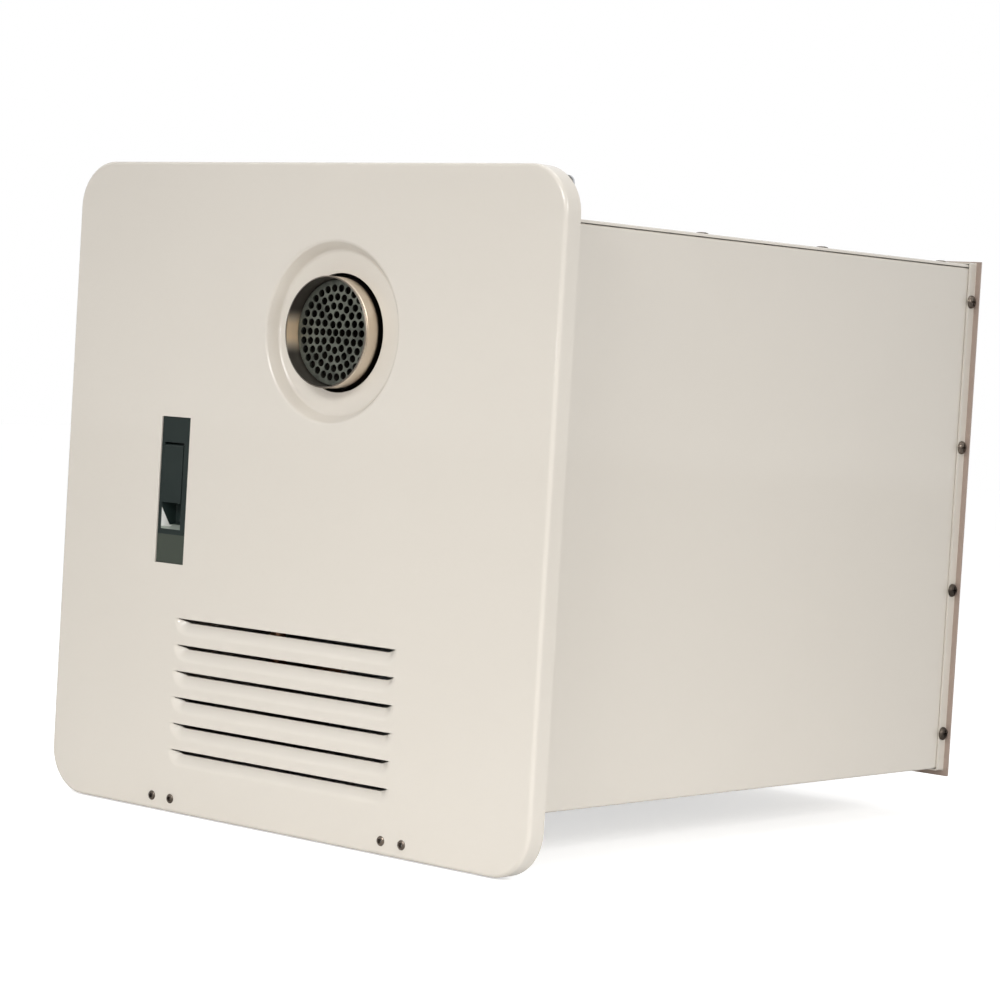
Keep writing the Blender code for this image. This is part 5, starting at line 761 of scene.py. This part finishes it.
def makeDoor():
    sheet = door["sheet"]
    backs = [bowlShape(sheet, sheet / 2)]
    hollows = [bowlShape(0, -overrun)]
    for index in range(door["louvreCount"]):
        backs.append(louvreShape(index, door["louvreHeight"] + sheet, door["louvreDepth"] + sheet, sheet / 2,
                                 sheet / 2, 0, door["louvreSlit"]))
        hollows.append(louvreShape(index, door["louvreHeight"], door["louvreDepth"], 0, -overrun,
                                   door["louvreSlit"], 0))
    halfWidth, halfHeight = door["latchWidth"] / 2, door["latchHeight"] / 2
    openings = [blockShape((door["latchX"] - halfWidth, door["front"] - overrun, door["latchZ"] - halfHeight),
                           (door["latchX"] + halfWidth, door["front"] + overrun, door["latchZ"] + halfHeight))]
    bottom = -door["drop"] - door["size"] / 2
    for side in (-1, 1):
        middle = side * door["hingeSpread"]
        half = door["hingeNotch"] / 2
        openings.append(blockShape((middle - half, door["hingeNotchFront"], bottom - overrun),
                                   (middle + half, door["back"] + overrun, bottom + sheet + seatGap / 2)))
        for rivet in (-1, 1):
            place = (middle + rivet * door["rivetSpacing"] / 2, door["front"], bottom + door["rivetRise"])
            openings.append(rodShape(door["rivetRadius"], 2 * overrun, "Y", place, 20))
    hole = rodShape(door["tubeRadius"] + door["tubeClearance"], 2 * overrun, "Y",
                    (door["bowlX"], door["front"] + door["bowlDepth"], door["bowlZ"]), door["bowlSteps"])
    panel = carved(doorTray(), [gathered(backs)], "UNION")
    panel = carved(panel, [gathered(hollows), gathered(openings), hole])
    dress(panel, "door_panel_dressed", doorBody, "paint", ["door_panel"], 28)


makeDoor()
print("door made")

flue = {
    "x": 0.0245,
    "z": 0.0932,
    "mouth": -0.0189,
    "end": 0.108,
    "outer": 0.0313,
    "inner": 0.0303,
    "bead": 0.0006,
    "screenFront": -0.0102,
    "screenRadius": 0.0300,
    "screenSheet": 0.001,
    "screenSkirt": 0.005,
    "holeRings": 5,
    "holePitch": 0.005,
    "holeRadius": 0.0022,
    "holeSteps": 14,
    "steps": 96,
}


def makeFlue():
    bead = flue["bead"]
    roll = roundSteps((flue["outer"] - bead, flue["mouth"] + 1.4 * bead), 1.4 * bead, -math.pi / 2, math.pi / 2, 8)
    profile = [(flue["inner"], flue["end"]), (flue["outer"], flue["end"]), (flue["outer"], flue["mouth"] + 3.4 * bead)]
    profile += [(min(radius, flue["outer"] + bead), height) for radius, height in reversed(roll)]
    profile += [(flue["inner"], flue["mouth"] + bead)]
    tube = turnedTo(spun(profile, flue["steps"], closed=True), "Y", (flue["x"], 0, flue["z"]))
    dress(tube, "exhaust_tube_dressed", caseBody, "stainless", ["exhaust_tube"], 40)
    sheet, skirt = flue["screenSheet"], flue["screenSkirt"]
    radius, edge = flue["screenRadius"], 0.0006
    cup = [(0, sheet), (radius - sheet, sheet), (radius - sheet, skirt), (radius, skirt), (radius, edge),
           (radius - edge, 0), (0, 0)]
    disc = turnedTo(spun(cup, flue["steps"]), "Y", (flue["x"], flue["screenFront"], flue["z"]))
    holes = []
    for ring in range(flue["holeRings"] + 1):
        for index in range(max(1, 6 * ring)):
            angle = 2 * math.pi * index / max(1, 6 * ring)
            place = (flue["x"] + ring * flue["holePitch"] * math.cos(angle), flue["screenFront"],
                     flue["z"] + ring * flue["holePitch"] * math.sin(angle))
            holes.append(rodShape(flue["holeRadius"], 2 * overrun, "Y", place, flue["holeSteps"]))
    disc = carved(disc, [gathered(holes)])
    dress(disc, "exhaust_screen_dressed", caseBody, "soot", ["exhaust_screen"], 40)


makeFlue()
print("flue made")


case = {
    "half": 0.162,
    "front": 0.0003,
    "back": 0.4315,
    "sheet": 0.001,
    "lip": 0.0018,
    "sideFlange": 0.014,
    "bend": 0.0016,
    "coverBend": 0.0011,
    "bendSteps": 5,
    "screwRadius": 0.0042,
    "screwHeight": 0.0022,
    "topScrewSink": 0.0011,
    "topScrews": (0.030, 0.150, 0.270, 0.402),
    "topScrewInset": 0.0065,
    "skirtDepth": 0.4282,
    "skirtHalf": 0.1633,
    "sideScrews": (0.1383, 0.0450, -0.0468, -0.1393),
    "endScrews": (-0.110, 0.0, 0.110),
}


def makeCase():
    half, sheet, steps = case["half"], case["sheet"], case["bendSteps"]
    foot = half - case["lip"]
    fold, tip = foot - seatGap, half - case["sideFlange"]
    wrap = bentStrip([(tip, fold), (half, fold), (half, -half), (-half, -half), (-half, fold), (-tip, fold)],
                     sheet, case["bend"], steps)
    cover = bentStrip([(-half, foot), (-half, half), (half, half), (half, foot)], sheet, case["coverBend"], steps)
    for name, outline in (("case_wrapper", wrap), ("top_cover", cover)):
        shape = softened(prismShape(outline, case["front"], case["back"]), 0.0002, 1, 50)
        dress(shape, name + "_dressed", caseBody, "paint", [name], 30)
    depth, out = case["skirtDepth"], case["skirtHalf"]
    places = []
    for along in case["topScrews"]:
        for side in (-1, 1):
            inset = half - case["topScrewInset"]
            places.append(("Z", (side * inset, along, half - case["topScrewSink"])))
    for up in case["sideScrews"]:
        places += [("X", (out, depth, up)), ("-X", (-out, depth, up))]
    for across in case["endScrews"]:
        places += [("Z", (across, depth, out)), ("-Z", (across, depth, -out))]
    screws = scattered(screwShape(case["screwRadius"], case["screwHeight"]), places)
    dress(screws, "case_screws", caseBody, "darkSteel")


makeCase()
print("case made")

hinge = {
    "spread": 0.0923,
    "pinRadius": 0.001,
    "width": 0.034,
    "y": -0.0041,
    "z": -0.1894,
    "rivetSpacing": 0.0155,
    "rivetZ": -0.1848,
    "rivetFront": -0.0142,
    "rivetBack": -0.0115,
    "headRadius": 0.0028,
    "headHeight": 0.0009,
    "shankRadius": 0.00155,
    "mandrelRadius": 0.0013,
}


def makeHinges():
    radius, height = hinge["headRadius"], hinge["headHeight"]
    shank, depth, hole = hinge["shankRadius"], hinge["rivetBack"] - hinge["rivetFront"], hinge["mandrelRadius"]
    profile = [(0, -depth / 2), (hole, -depth / 2), (hole, 0.98 * height), (0.6 * radius, 0.98 * height),
               (0.85 * radius, 0.72 * height), (radius, 0.22 * height), (radius, 0), (shank, 0), (shank, -depth),
               (0, -depth)]
    places = []
    for side, word in ((-1, "left"), (1, "right")):
        middle = side * hinge["spread"]
        pin = rodShape(hinge["pinRadius"], hinge["width"], "X", (middle, hinge["y"], hinge["z"]), 24, 0.0002)
        dress(pin, "hinge_pin_" + word + "_dressed", caseBody, "steel", ["hinge_pin_" + word])
        for rivet in (-1, 1):
            places.append(("-Y", (middle + rivet * hinge["rivetSpacing"] / 2, hinge["rivetFront"], hinge["rivetZ"])))
    dress(scattered(spun(profile, 28), places), "door_rivets", doorBody, "darkSteel")


makeHinges()
print("hinges made")

edges = {
    "topLip": 0.0008,
    "skirtHalf": 0.1633,
    "cornerSide": 0.0080,
    "flangeCornerSide": 0.020,
    "flangeCornerRadius": 0.004,
    "flangeSheet": 0.0012,
    "cornerSteps": 4,
}


def cornerPlates(low, high, side, radius, front, back):
    # Four rounded squares that fill the corners of a plate
    plates = []
    for across in (low.x + side / 2, high.x - side / 2):
        for up in (low.z + side / 2, high.z - side / 2):
            outline = []
            for quarter, (east, north) in enumerate(((1, 1), (-1, 1), (-1, -1), (1, -1))):
                reach = side / 2 - radius
                outline += roundSteps((across + east * reach, up + north * reach), radius, quarter * math.pi / 2,
                                      (quarter + 1) * math.pi / 2, edges["cornerSteps"])
            plates.append(prismShape(outline, front, back))
    return plates


def makeEdges():
    # The rear plate has square corners and hardly a lip at the top; the wall flange has tight corners
    low, high = (Vector(corner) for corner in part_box("rear_cover"))
    corners = cornerPlates(low, high, edges["cornerSide"], edges["topLip"], high.y - case["sheet"], high.y)
    cover = carved(nodeShape("rear_cover"), [gathered(corners)], "UNION")
    above = edges["skirtHalf"] + edges["topLip"]
    cover = carved(cover, [blockShape((low.x - overrun, low.y - overrun, above),
                                      (high.x + overrun, high.y + overrun, high.z + overrun))])
    dress(softened(cover, 0.00045, 3), "rear_cover_dressed", caseBody, "rearPaint", ["rear_cover"], 30)
    low, high = (Vector(corner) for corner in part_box("mounting_flange"))
    corners = cornerPlates(low, high, edges["flangeCornerSide"], edges["flangeCornerRadius"],
                           low.y, low.y + edges["flangeSheet"])
    ring = carved(nodeShape("mounting_flange"), [gathered(corners)], "UNION")
    dress(softened(ring, 0.00025), "mounting_flange_dressed", caseBody, "galvanised",
          ["mounting_flange"], 30)


makeEdges()
print("edges made")

spring = {
    "x": -0.09765,
    "y": -0.00315,
    "low": 0.00915,
    "high": 0.01685,
    "radius": 0.0020,
    "wire": 0.00035,
    "curls": 4,
    "steps": 24,
}


def makeSpring():
    count = spring["curls"] * spring["steps"]
    points = []
    for step in range(count + 1):
        angle = 2 * math.pi * step / spring["steps"]
        points.append((spring["x"] + spring["radius"] * math.cos(angle), spring["y"] + spring["radius"] * math.sin(angle),
                       spring["low"] + (spring["high"] - spring["low"]) * step / count))
    dress(tubeShape(points, spring["wire"], 4), "latch_spring_dressed", doorBody, "steel",
          ["latch_spring"])


makeSpring()
print("spring made")

# Every pipe and lead: its corners, bend, radius and finish
pipes = {
    "gas_inlet_pipe": {"corners": [(-0.112, 0.2203, -0.118), (-0.112, 0.4092, -0.118)], "bend": 0.012,
                       "radius": 0.0063, "finish": "steel"},
    "gas_supply_tube": {"corners": [(-0.112, 0.1497, -0.118), (-0.112, 0.096, -0.118), (-0.112, 0.096, -0.0716),
                                    (-0.0805, 0.096, -0.0716)], "bend": 0.012, "radius": 0.0050, "finish": "copper"},
    "water_inlet_pipe": {"corners": [(0.129, 0.3523, -0.122), (0.129, 0.4092, -0.122)], "bend": 0.012,
                         "radius": 0.0063, "finish": "copper"},
    "chamber_pipe": {"corners": [(0.129, 0.3077, -0.122), (0.129, 0.262, -0.122), (0.129, 0.262, -0.0198),
                                 (0.129, 0.222, -0.0198), (0.1229, 0.182, -0.0198), (0.1229, 0.1036, -0.0198),
                                 (-0.0739, 0.1036, -0.0198), (-0.0739, 0.2854, -0.0198), (0.1229, 0.2854, -0.0019),
                                 (0.1229, 0.1036, -0.0019), (-0.0739, 0.1036, -0.0019), (-0.0739, 0.145, -0.0019),
                                 (-0.080, 0.185, -0.0019), (-0.080, 0.225, -0.0019), (-0.080, 0.225, 0.0288),
                                 (-0.0658, 0.225, 0.0288)], "bend": 0.012, "radius": 0.0063, "finish": "copper"},
    "water_outlet_pipe": {"corners": [(0.1148, 0.150, 0.0288), (0.129, 0.150, 0.0288), (0.129, 0.330, 0.0288),
                                      (0.129, 0.330, -0.070), (0.129, 0.4092, -0.070)], "bend": 0.012,
                          "radius": 0.0063, "finish": "copper"},
    "spark_lead": {"corners": [(-0.1257, 0.104, -0.0580), (-0.100, 0.104, -0.0580), (-0.100, 0.068, -0.0384),
                               (-0.0055, 0.068, -0.0384), (-0.0055, 0.0834, -0.0384)], "bend": 0.008,
                   "radius": 0.0025, "finish": "redCable"},
    "wiring_loom": {"corners": [(-0.150, 0.044, 0.0457), (-0.150, 0.044, 0.0040), (-0.150, 0.395, 0.0040),
                                (-0.060, 0.395, 0.0040), (-0.060, 0.395, -0.122), (-0.060, 0.4262, -0.122)],
                    "bend": 0.014, "radius": 0.0040, "finish": "cable"},
}


def makePipes():
    for node, pipe in pipes.items():
        shape = tubeShape(routePoints(pipe["corners"], pipe["bend"], 10), pipe["radius"])
        dress(shape, node + "_dressed", caseBody, pipe["finish"], [node], 40)


makePipes()
print("pipes made")

fittings = {
    "places": {"gas_inlet_fitting": (-0.112, -0.118), "water_inlet_fitting": (0.129, -0.122),
               "water_outlet_fitting": (0.129, -0.070)},
    "end": 0.4588,
    "radius": 0.0105,
    "bore": 0.0070,
    "boreDepth": 0.024,
    "chamfer": 0.0010,
    "threads": 12,
    "pitch": 0.0018,
    "threadDepth": 0.0009,
    "nutRadius": 0.0155,
    "nutFront": 0.4235,
    "nutBack": 0.4315,
    "tail": 0.4095,
    "tailNutRadius": 0.0105,
    "tailNutLength": 0.0125,
    "coreRadius": 0.0085,
}


def makeFittings():
    end, radius, bore, chamfer = (fittings[key] for key in ("end", "radius", "bore", "chamfer"))
    for node, (across, up) in fittings["places"].items():
        floor = end - fittings["boreDepth"]
        profile = [(0, floor), (bore, floor), (bore, end - chamfer / 2), (bore + chamfer / 2, end),
                   (radius - chamfer, end)]
        top = end - chamfer
        for index in range(fittings["threads"]):
            start = top - index * fittings["pitch"]
            profile += [(radius, start), (radius - fittings["threadDepth"], start - fittings["pitch"] / 2)]
        profile += [(radius, fittings["nutBack"] + chamfer), (radius, fittings["nutBack"]),
                    (fittings["coreRadius"], fittings["nutBack"]), (fittings["coreRadius"], fittings["tail"]),
                    (0, fittings["tail"])]
        core = turnedTo(spun(profile, 40), "Y", (across, 0, up))
        nutMiddle = (fittings["nutFront"] + fittings["nutBack"]) / 2
        nut = hexShape(fittings["nutRadius"], fittings["nutBack"] - fittings["nutFront"], "Y",
                       (across, nutMiddle, up), 0.0008)
        tailMiddle = fittings["tail"] + fittings["tailNutLength"] / 2
        tail = hexShape(fittings["tailNutRadius"], fittings["tailNutLength"], "Y", (across, tailMiddle, up), 0.0007)
        dress(gathered([core, nut, tail]), node + "_dressed", caseBody, "brass", [node], 28)


makeFittings()
print("fittings made")

gasRail = {
    "y": 0.096,
    "z": -0.0716,
    "left": -0.0775,
    "right": 0.1145,
    "radius": 0.0070,
    "flangeRadius": 0.0105,
    "flangeSheet": 0.003,
    "nozzles": (-0.0532, -0.0310, -0.0088, 0.0134, 0.0356, 0.0578, 0.0800, 0.1022),
    "nozzleRadius": 0.0026,
    "nozzleTip": 0.1126,
    "nozzleNutRadius": 0.0046,
    "nozzleNutLength": 0.0038,
}


def makeGasRail():
    left, right, depth, up = (gasRail[key] for key in ("left", "right", "y", "z"))
    shapes = [rodShape(gasRail["radius"], right - left, "X", ((left + right) / 2, depth, up), 40, 0.0010),
              rodShape(gasRail["flangeRadius"], gasRail["flangeSheet"], "X",
                       (left - gasRail["flangeSheet"] / 2, depth, up), 40, 0.0005)]
    for across in gasRail["nozzles"]:
        tip = gasRail["nozzleTip"]
        shapes.append(rodShape(gasRail["nozzleRadius"], tip - depth, "Y", (across, (tip + depth) / 2, up), 20, 0.0004))
        nutY = depth + gasRail["radius"] + gasRail["nozzleNutLength"] / 2 - 0.0004
        shapes.append(hexShape(gasRail["nozzleNutRadius"], gasRail["nozzleNutLength"], "Y", (across, nutY, up), 0.0003))
    dress(gathered(shapes), "gas_manifold_dressed", caseBody, "brass", ["gas_manifold"], 35)


makeGasRail()
print("gas rail made")

coils = {
    "x": -0.112,
    "places": {"gas_solenoid_front": 0.168, "gas_solenoid_rear": 0.202},
    "base": -0.0957,
    "shoulder": -0.0732,
    "top": -0.0657,
    "radius": 0.014,
    "capRadius": 0.0063,
    "band": 0.0016,
    "bandDepth": 0.0008,
}


def makeCoils():
    base, shoulder, top, radius = (coils[key] for key in ("base", "shoulder", "top", "radius"))
    band, dip = coils["band"], coils["bandDepth"]
    profile = [(0, shoulder), (radius - 2 * dip, shoulder), (radius, shoulder - 2 * dip)]
    for level in (shoulder - 3 * band, base + 4 * band):
        profile += [(radius, level), (radius - dip, level - band / 4), (radius - dip, level - band), (radius, level - 1.25 * band)]
    profile += [(radius, base), (0, base)]
    caps = []
    for node, depth in coils["places"].items():
        dress(turnedTo(spun(profile, 40), "Z", (coils["x"], depth, 0)), node + "_dressed", caseBody, "blackMatt",
              [node], 35)
        stem = top - shoulder
        caps.append(hexShape(coils["capRadius"], 0.6 * stem, "Z", (coils["x"], depth, shoulder + 0.3 * stem)))
        caps.append(rodShape(0.55 * coils["capRadius"], stem, "Z", (coils["x"], depth, shoulder + stem / 2), 24, 0.0004))
    dress(gathered(caps), "solenoid_nuts", caseBody, "steel")


makeCoils()
print("coils made")

probes = {
    "places": {"igniter": -0.0055, "flame_sensor": 0.0545},
    "y": 0.1117,
    "z": -0.03836,
    "bodyRadius": 0.0042,
    "bodyLength": 0.022,
    "rodRadius": 0.0015,
    "rodLength": 0.026,
    "flangeRadius": 0.0075,
    "flangeSheet": 0.0012,
    "tailLength": 0.006,
    "ribs": 4,
}


def makeProbes():
    radius, length, sheet = probes["bodyRadius"], probes["bodyLength"], probes["flangeSheet"]
    ridge = 0.0005
    body = [(0, -sheet), (radius - ridge, -sheet)]
    pitch = (length - sheet - 0.004) / probes["ribs"]
    for index in range(probes["ribs"]):
        start = -sheet - 0.002 - index * pitch
        body += [(radius - ridge, start), (radius, start - pitch / 4), (radius, start - pitch / 2),
                 (radius - ridge, start - 3 * pitch / 4)]
    body += [(radius - ridge, 0.0008 - length), (radius - 3 * ridge, -length), (0, -length)]
    metal = []
    for node, across in probes["places"].items():
        place = (across, probes["y"], probes["z"])
        dress(turnedTo(spun(body, 28), "Y", place), node + "_dressed", caseBody, "ceramic", [node], 40)
        rod = probes["rodRadius"]
        metal.append(rodShape(probes["flangeRadius"], sheet, "Y", (across, probes["y"] - sheet / 2, probes["z"]), 28, 0.0002))
        metal.append(rodShape(rod, probes["rodLength"], "Y", (across, probes["y"] + probes["rodLength"] / 2, probes["z"]), 16, 0.0003))
        tail = probes["tailLength"]
        metal.append(rodShape(rod, tail, "Y", (across, probes["y"] - length - tail / 2, probes["z"]), 16, 0.0003))
    dress(gathered(metal), "probe_metal", caseBody, "steel")


makeProbes()
print("probes made")

cutout = {
    "x": 0.0245,
    "y": 0.1117,
    "z": 0.02876,
    "radius": 0.009,
    "length": 0.010,
    "tabWidth": 0.0058,
    "tabSheet": 0.0008,
    "tabLength": 0.005,
    "tabSpacing": 0.0048,
}


def makeCutout():
    radius, length = cutout["radius"], cutout["length"]
    body = [(0, -0.003), (0.82 * radius, -0.003), (0.82 * radius, 0.0006 - length), (0.75 * radius, -length), (0, -length)]
    cap = [(0, 0), (radius - 0.0005, 0), (radius, -0.0005), (radius, -0.0030), (radius - 0.0005, -0.0034), (0, -0.0034)]
    place = (cutout["x"], cutout["y"], cutout["z"])
    dress(turnedTo(spun(body, 36), "Y", place), "overheat_cutout_dressed", caseBody, "blackMatt",
          ["overheat_cutout"], 35)
    metal = [turnedTo(spun(cap, 36), "Y", place)]
    for side in (-1, 1):
        middle = cutout["x"] + side * cutout["tabSpacing"] / 2
        near, far = cutout["y"] - length + 0.0005, cutout["y"] - length - cutout["tabLength"]
        metal.append(blockShape((middle - cutout["tabSheet"] / 2, far, cutout["z"] - cutout["tabWidth"] / 2),
                                (middle + cutout["tabSheet"] / 2, near, cutout["z"] + cutout["tabWidth"] / 2), 0.00015))
    dress(gathered(metal), "cutout_metal", caseBody, "aluminium")


makeCutout()
print("cut-out made")

motor = {
    "face": -0.0018,
    "y": 0.3523,
    "z": -0.1047,
    "radius": 0.027,
    "length": 0.036,
    "bossRadius": 0.010,
    "bossLength": 0.005,
    "boltRing": 0.0205,
    "boltRadius": 0.0022,
    "ribs": 16,
    "shaftRadius": 0.003,
    "shaftLeft": -0.0215,
    "shaftRight": 0.0224,
}


def makeMotor():
    radius, length, boss, reach = (motor[key] for key in ("radius", "length", "bossRadius", "bossLength"))
    profile = [(0, -0.020), (0.0033, -0.020), (0.0033, 0), (radius - 0.0006, 0), (radius, -0.0006), (radius, -0.0050),
               (radius - 0.0010, -0.0055), (radius - 0.0010, 0.0065 - length), (radius, 0.0060 - length),
               (radius, 0.0012 - length), (radius - 0.0012, -length), (boss + 0.001, -length),
               (boss, -length - 0.001), (boss, 0.0006 - length - reach), (boss - 0.0006, -length - reach),
               (0, -length - reach)]
    centre = (motor["face"], motor["y"], motor["z"])
    shapes = [turnedTo(spun(profile, 56), "X", centre)]
    for index in range(motor["ribs"]):
        turn = Matrix.Rotation(2 * math.pi * index / motor["ribs"], 4, "Z")
        rib = blockShape((radius - 0.002, -0.0007, 0.007 - length), (radius - 0.0002, 0.0007, -0.006), 0.0002)
        bmesh.ops.transform(rib, matrix=turn, verts=rib.verts)
        shapes.append(turnedTo(rib, "X", centre))
    dress(gathered(shapes), "blower_motor_dressed", caseBody, "greyPlastic", ["blower_motor"], 35)
    far = motor["face"] - length
    bolts = []
    for index in range(4):
        angle = math.pi / 4 + index * math.pi / 2
        bolts.append(("-X", (far, motor["y"] + motor["boltRing"] * math.cos(angle),
                             motor["z"] + motor["boltRing"] * math.sin(angle))))
    dress(scattered(screwShape(motor["boltRadius"], 0.0014), bolts), "motor_screws", caseBody, "steel")
    left, right = motor["shaftLeft"], motor["shaftRight"]
    shaft = rodShape(motor["shaftRadius"], right - left, "X", ((left + right) / 2, motor["y"], motor["z"]), 28, 0.0005)
    dress(shaft, "blower_shaft_dressed", bodyOf["blower_shaft"], "steel", ["blower_shaft"])


makeMotor()
print("motor made")

gland = {
    "x": -0.060,
    "z": -0.122,
    "inner": 0.4318,
    "sheet": 0.001,
    "radius": 0.009,
    "bore": 0.0045,
    "boreDepth": 0.012,
    "reach": 0.014,
    "nutRadius": 0.0125,
    "nutLength": 0.005,
    "ribs": 18,
}


def makeGland():
    end = gland["inner"] + gland["sheet"] + gland["reach"]
    ring = gland["inner"] + gland["sheet"] + seatGap
    radius, bore, nut = gland["radius"], gland["bore"], gland["nutLength"]
    profile = [(0, end - gland["boreDepth"]), (bore, end - gland["boreDepth"]), (bore, end - 0.0006),
               (bore + 0.0006, end), (radius - 0.0028, end), (radius - 0.0008, end - 0.0018), (radius, end - 0.004),
               (radius, ring - 0.001), (radius, gland["inner"] - nut), (0, gland["inner"] - nut)]
    core = turnedTo(spun(profile, 40), "Y", (gland["x"], 0, gland["z"]))
    shapes = [core]
    for middle in (ring + nut / 2, gland["inner"] - seatGap - nut / 2):
        shapes.append(hexShape(gland["nutRadius"], nut, "Y", (gland["x"], middle, gland["z"]), 0.0006))
    for index in range(gland["ribs"]):
        turn = Matrix.Rotation(2 * math.pi * index / gland["ribs"], 4, "Z")
        rib = blockShape((radius - 0.001, -0.0005, ring + nut), (radius + 0.0004, 0.0005, end - 0.005), 0.0002)
        bmesh.ops.transform(rib, matrix=turn, verts=rib.verts)
        shapes.append(turnedTo(rib, "Y", (gland["x"], 0, gland["z"])))
    dress(gathered(shapes), "cable_gland_dressed", caseBody, "blackMatt", ["cable_gland"], 30)


makeGland()
print("gland made")

board = {
    "front": 0.0518,
    "back": 0.0534,
    "left": -0.1566,
    "right": -0.0868,
    "bottom": 0.0501,
    "top": 0.1499,
    "middle": (-0.1217, 0.100),
    "relay": ((-0.0195, -0.0054), (0.016, 0.011, 0.020)),
    "chip": ((0.0117, -0.0086), (0.022, 0.003, 0.022)),
    "plug": ((0.0, -0.0378), (0.030, 0.009, 0.008)),
    "legs": 10,
    "legPitch": 0.0020,
    "pins": 9,
    "pinPitch": 0.0030,
}


def boardBlock(key, bevel):
    (across, up), (wide, deep, high) = board[key]
    x, z = board["middle"][0] + across, board["middle"][1] + up
    return blockShape((x - wide / 2, board["front"] - deep, z - high / 2),
                      (x + wide / 2, board["front"] + 0.0004, z + high / 2), bevel)


def makeBoard():
    sheet = blockShape((board["left"], board["front"], board["bottom"]), (board["right"], board["back"], board["top"]), 0.0002)
    dress(sheet, "control_board_dressed", caseBody, "board", ["control_board"])
    dress(boardBlock("relay", 0.0006), "board_relay", caseBody, "plug")
    dress(boardBlock("chip", 0.0003), "board_chip", caseBody, "chip")
    dress(boardBlock("plug", 0.0004), "board_plug", caseBody, "plug")
    legs = []
    (across, up), (wide, deep, high) = board["chip"]
    x, z = board["middle"][0] + across, board["middle"][1] + up
    for index in range(board["legs"]):
        along = z + (index - (board["legs"] - 1) / 2) * board["legPitch"]
        for side in (-1, 1):
            start, end = x + side * (wide / 2 - 0.0005), x + side * (wide / 2 + 0.0016)
            legs.append(blockShape((min(start, end), board["front"] - 0.0010, along - 0.0004),
                                   (max(start, end), board["front"] - 0.0001, along + 0.0004), 0.0001))
    dress(gathered(legs), "chip_legs", caseBody, "steel")


makeBoard()
print("board made")

joins = {
    "levels": {"burner": -0.0914, "chamber": -0.0492, "exchanger": 0.0130, "hood": 0.0472},
    "left": -0.0560,
    "right": 0.1050,
    "count": 5,
    "y": 0.1084,
    "radius": 0.0021,
    "height": 0.0013,
    "coverX": (-0.1547, -0.0887),
    "coverY": 0.0260,
    "coverZ": (0.0520, 0.1480),
}


def makeJoinScrews():
    places = []
    for level in joins["levels"].values():
        for index in range(joins["count"]):
            across = joins["left"] + (joins["right"] - joins["left"]) * index / (joins["count"] - 1)
            places.append(("Z", (across, joins["y"], level)))
    for across in joins["coverX"]:
        for up in joins["coverZ"]:
            places.append(("-Y", (across, joins["coverY"], up)))
    screws = scattered(screwShape(joins["radius"], joins["height"], 18), places)
    dress(screws, "join_screws", caseBody, "steel")


makeJoinScrews()
print("join screws made")


def makeStage():
    bpy.ops.mesh.primitive_plane_add(size=12, location=(0, 0, view["floorHeight"]))
    floor = bpy.context.object
    floor.name = "floor"
    material = bpy.data.materials.new("pale_floor")
    material.use_nodes = True
    tree = material.node_tree
    shader = tree.nodes["Principled BSDF"]
    shader.inputs["Base Color"].default_value = (0.86, 0.86, 0.86, 1)
    shader.inputs["Roughness"].default_value = 0.9
    path = tree.nodes.new("ShaderNodeLightPath")
    glow = tree.nodes.new("ShaderNodeEmission")
    glow.inputs["Color"].default_value = (1, 1, 1, 1)
    glow.inputs["Strength"].default_value = 0.60
    total = tree.nodes.new("ShaderNodeAddShader")
    shown = tree.nodes.new("ShaderNodeMixShader")
    tree.links.new(shader.outputs["BSDF"], total.inputs[0])
    tree.links.new(glow.outputs["Emission"], total.inputs[1])
    tree.links.new(path.outputs["Is Camera Ray"], shown.inputs["Fac"])
    tree.links.new(shader.outputs["BSDF"], shown.inputs[1])
    tree.links.new(total.outputs["Shader"], shown.inputs[2])
    tree.links.new(shown.outputs["Shader"], tree.nodes["Material Output"].inputs["Surface"])
    floor.data.materials.append(material)
    world = bpy.data.worlds.new("studio")
    bpy.context.scene.world = world
    world.use_nodes = True
    tree = world.node_tree
    light = tree.nodes["Background"]
    light.inputs["Color"].default_value = (1, 1, 1, 1)
    light.inputs["Strength"].default_value = view["worldStrength"]
    white = tree.nodes.new("ShaderNodeBackground")
    white.inputs["Color"].default_value = (1, 1, 1, 1)
    white.inputs["Strength"].default_value = 1
    path = tree.nodes.new("ShaderNodeLightPath")
    seen = tree.nodes.new("ShaderNodeMath")
    seen.operation = "MAXIMUM"
    tree.links.new(path.outputs["Is Camera Ray"], seen.inputs[0])
    tree.links.new(path.outputs["Is Glossy Ray"], seen.inputs[1])
    mix = tree.nodes.new("ShaderNodeMixShader")
    tree.links.new(seen.outputs["Value"], mix.inputs["Fac"])
    tree.links.new(light.outputs["Background"], mix.inputs[1])
    tree.links.new(white.outputs["Background"], mix.inputs[2])
    tree.links.new(mix.outputs["Shader"], tree.nodes["World Output"].inputs["Surface"])


makeCamera()
makeStage()
makeLamp("key", (0.35, -1.35, 0.75), (0.02, 0, -0.24), (0.8, 0.4), view["keyWatts"], view["beam"])
makeLamp("fill", (1.5, -0.10, 0.60), (0.16, 0.10, -0.24), (0.8, 0.4), view["fillWatts"], view["beam"])
makeLamp("glint", (0.0, -1.9, 0.10), (0, 0, 0), (0.05, 0.05), view["glintWatts"])
makeLamp("top", (0.1, 0.3, 1.7), (0, 0.15, 0), (1.4, 1.4), view["topWatts"])
bpy.context.scene.view_settings.view_transform = "Standard"
print("camera, floor and light made")
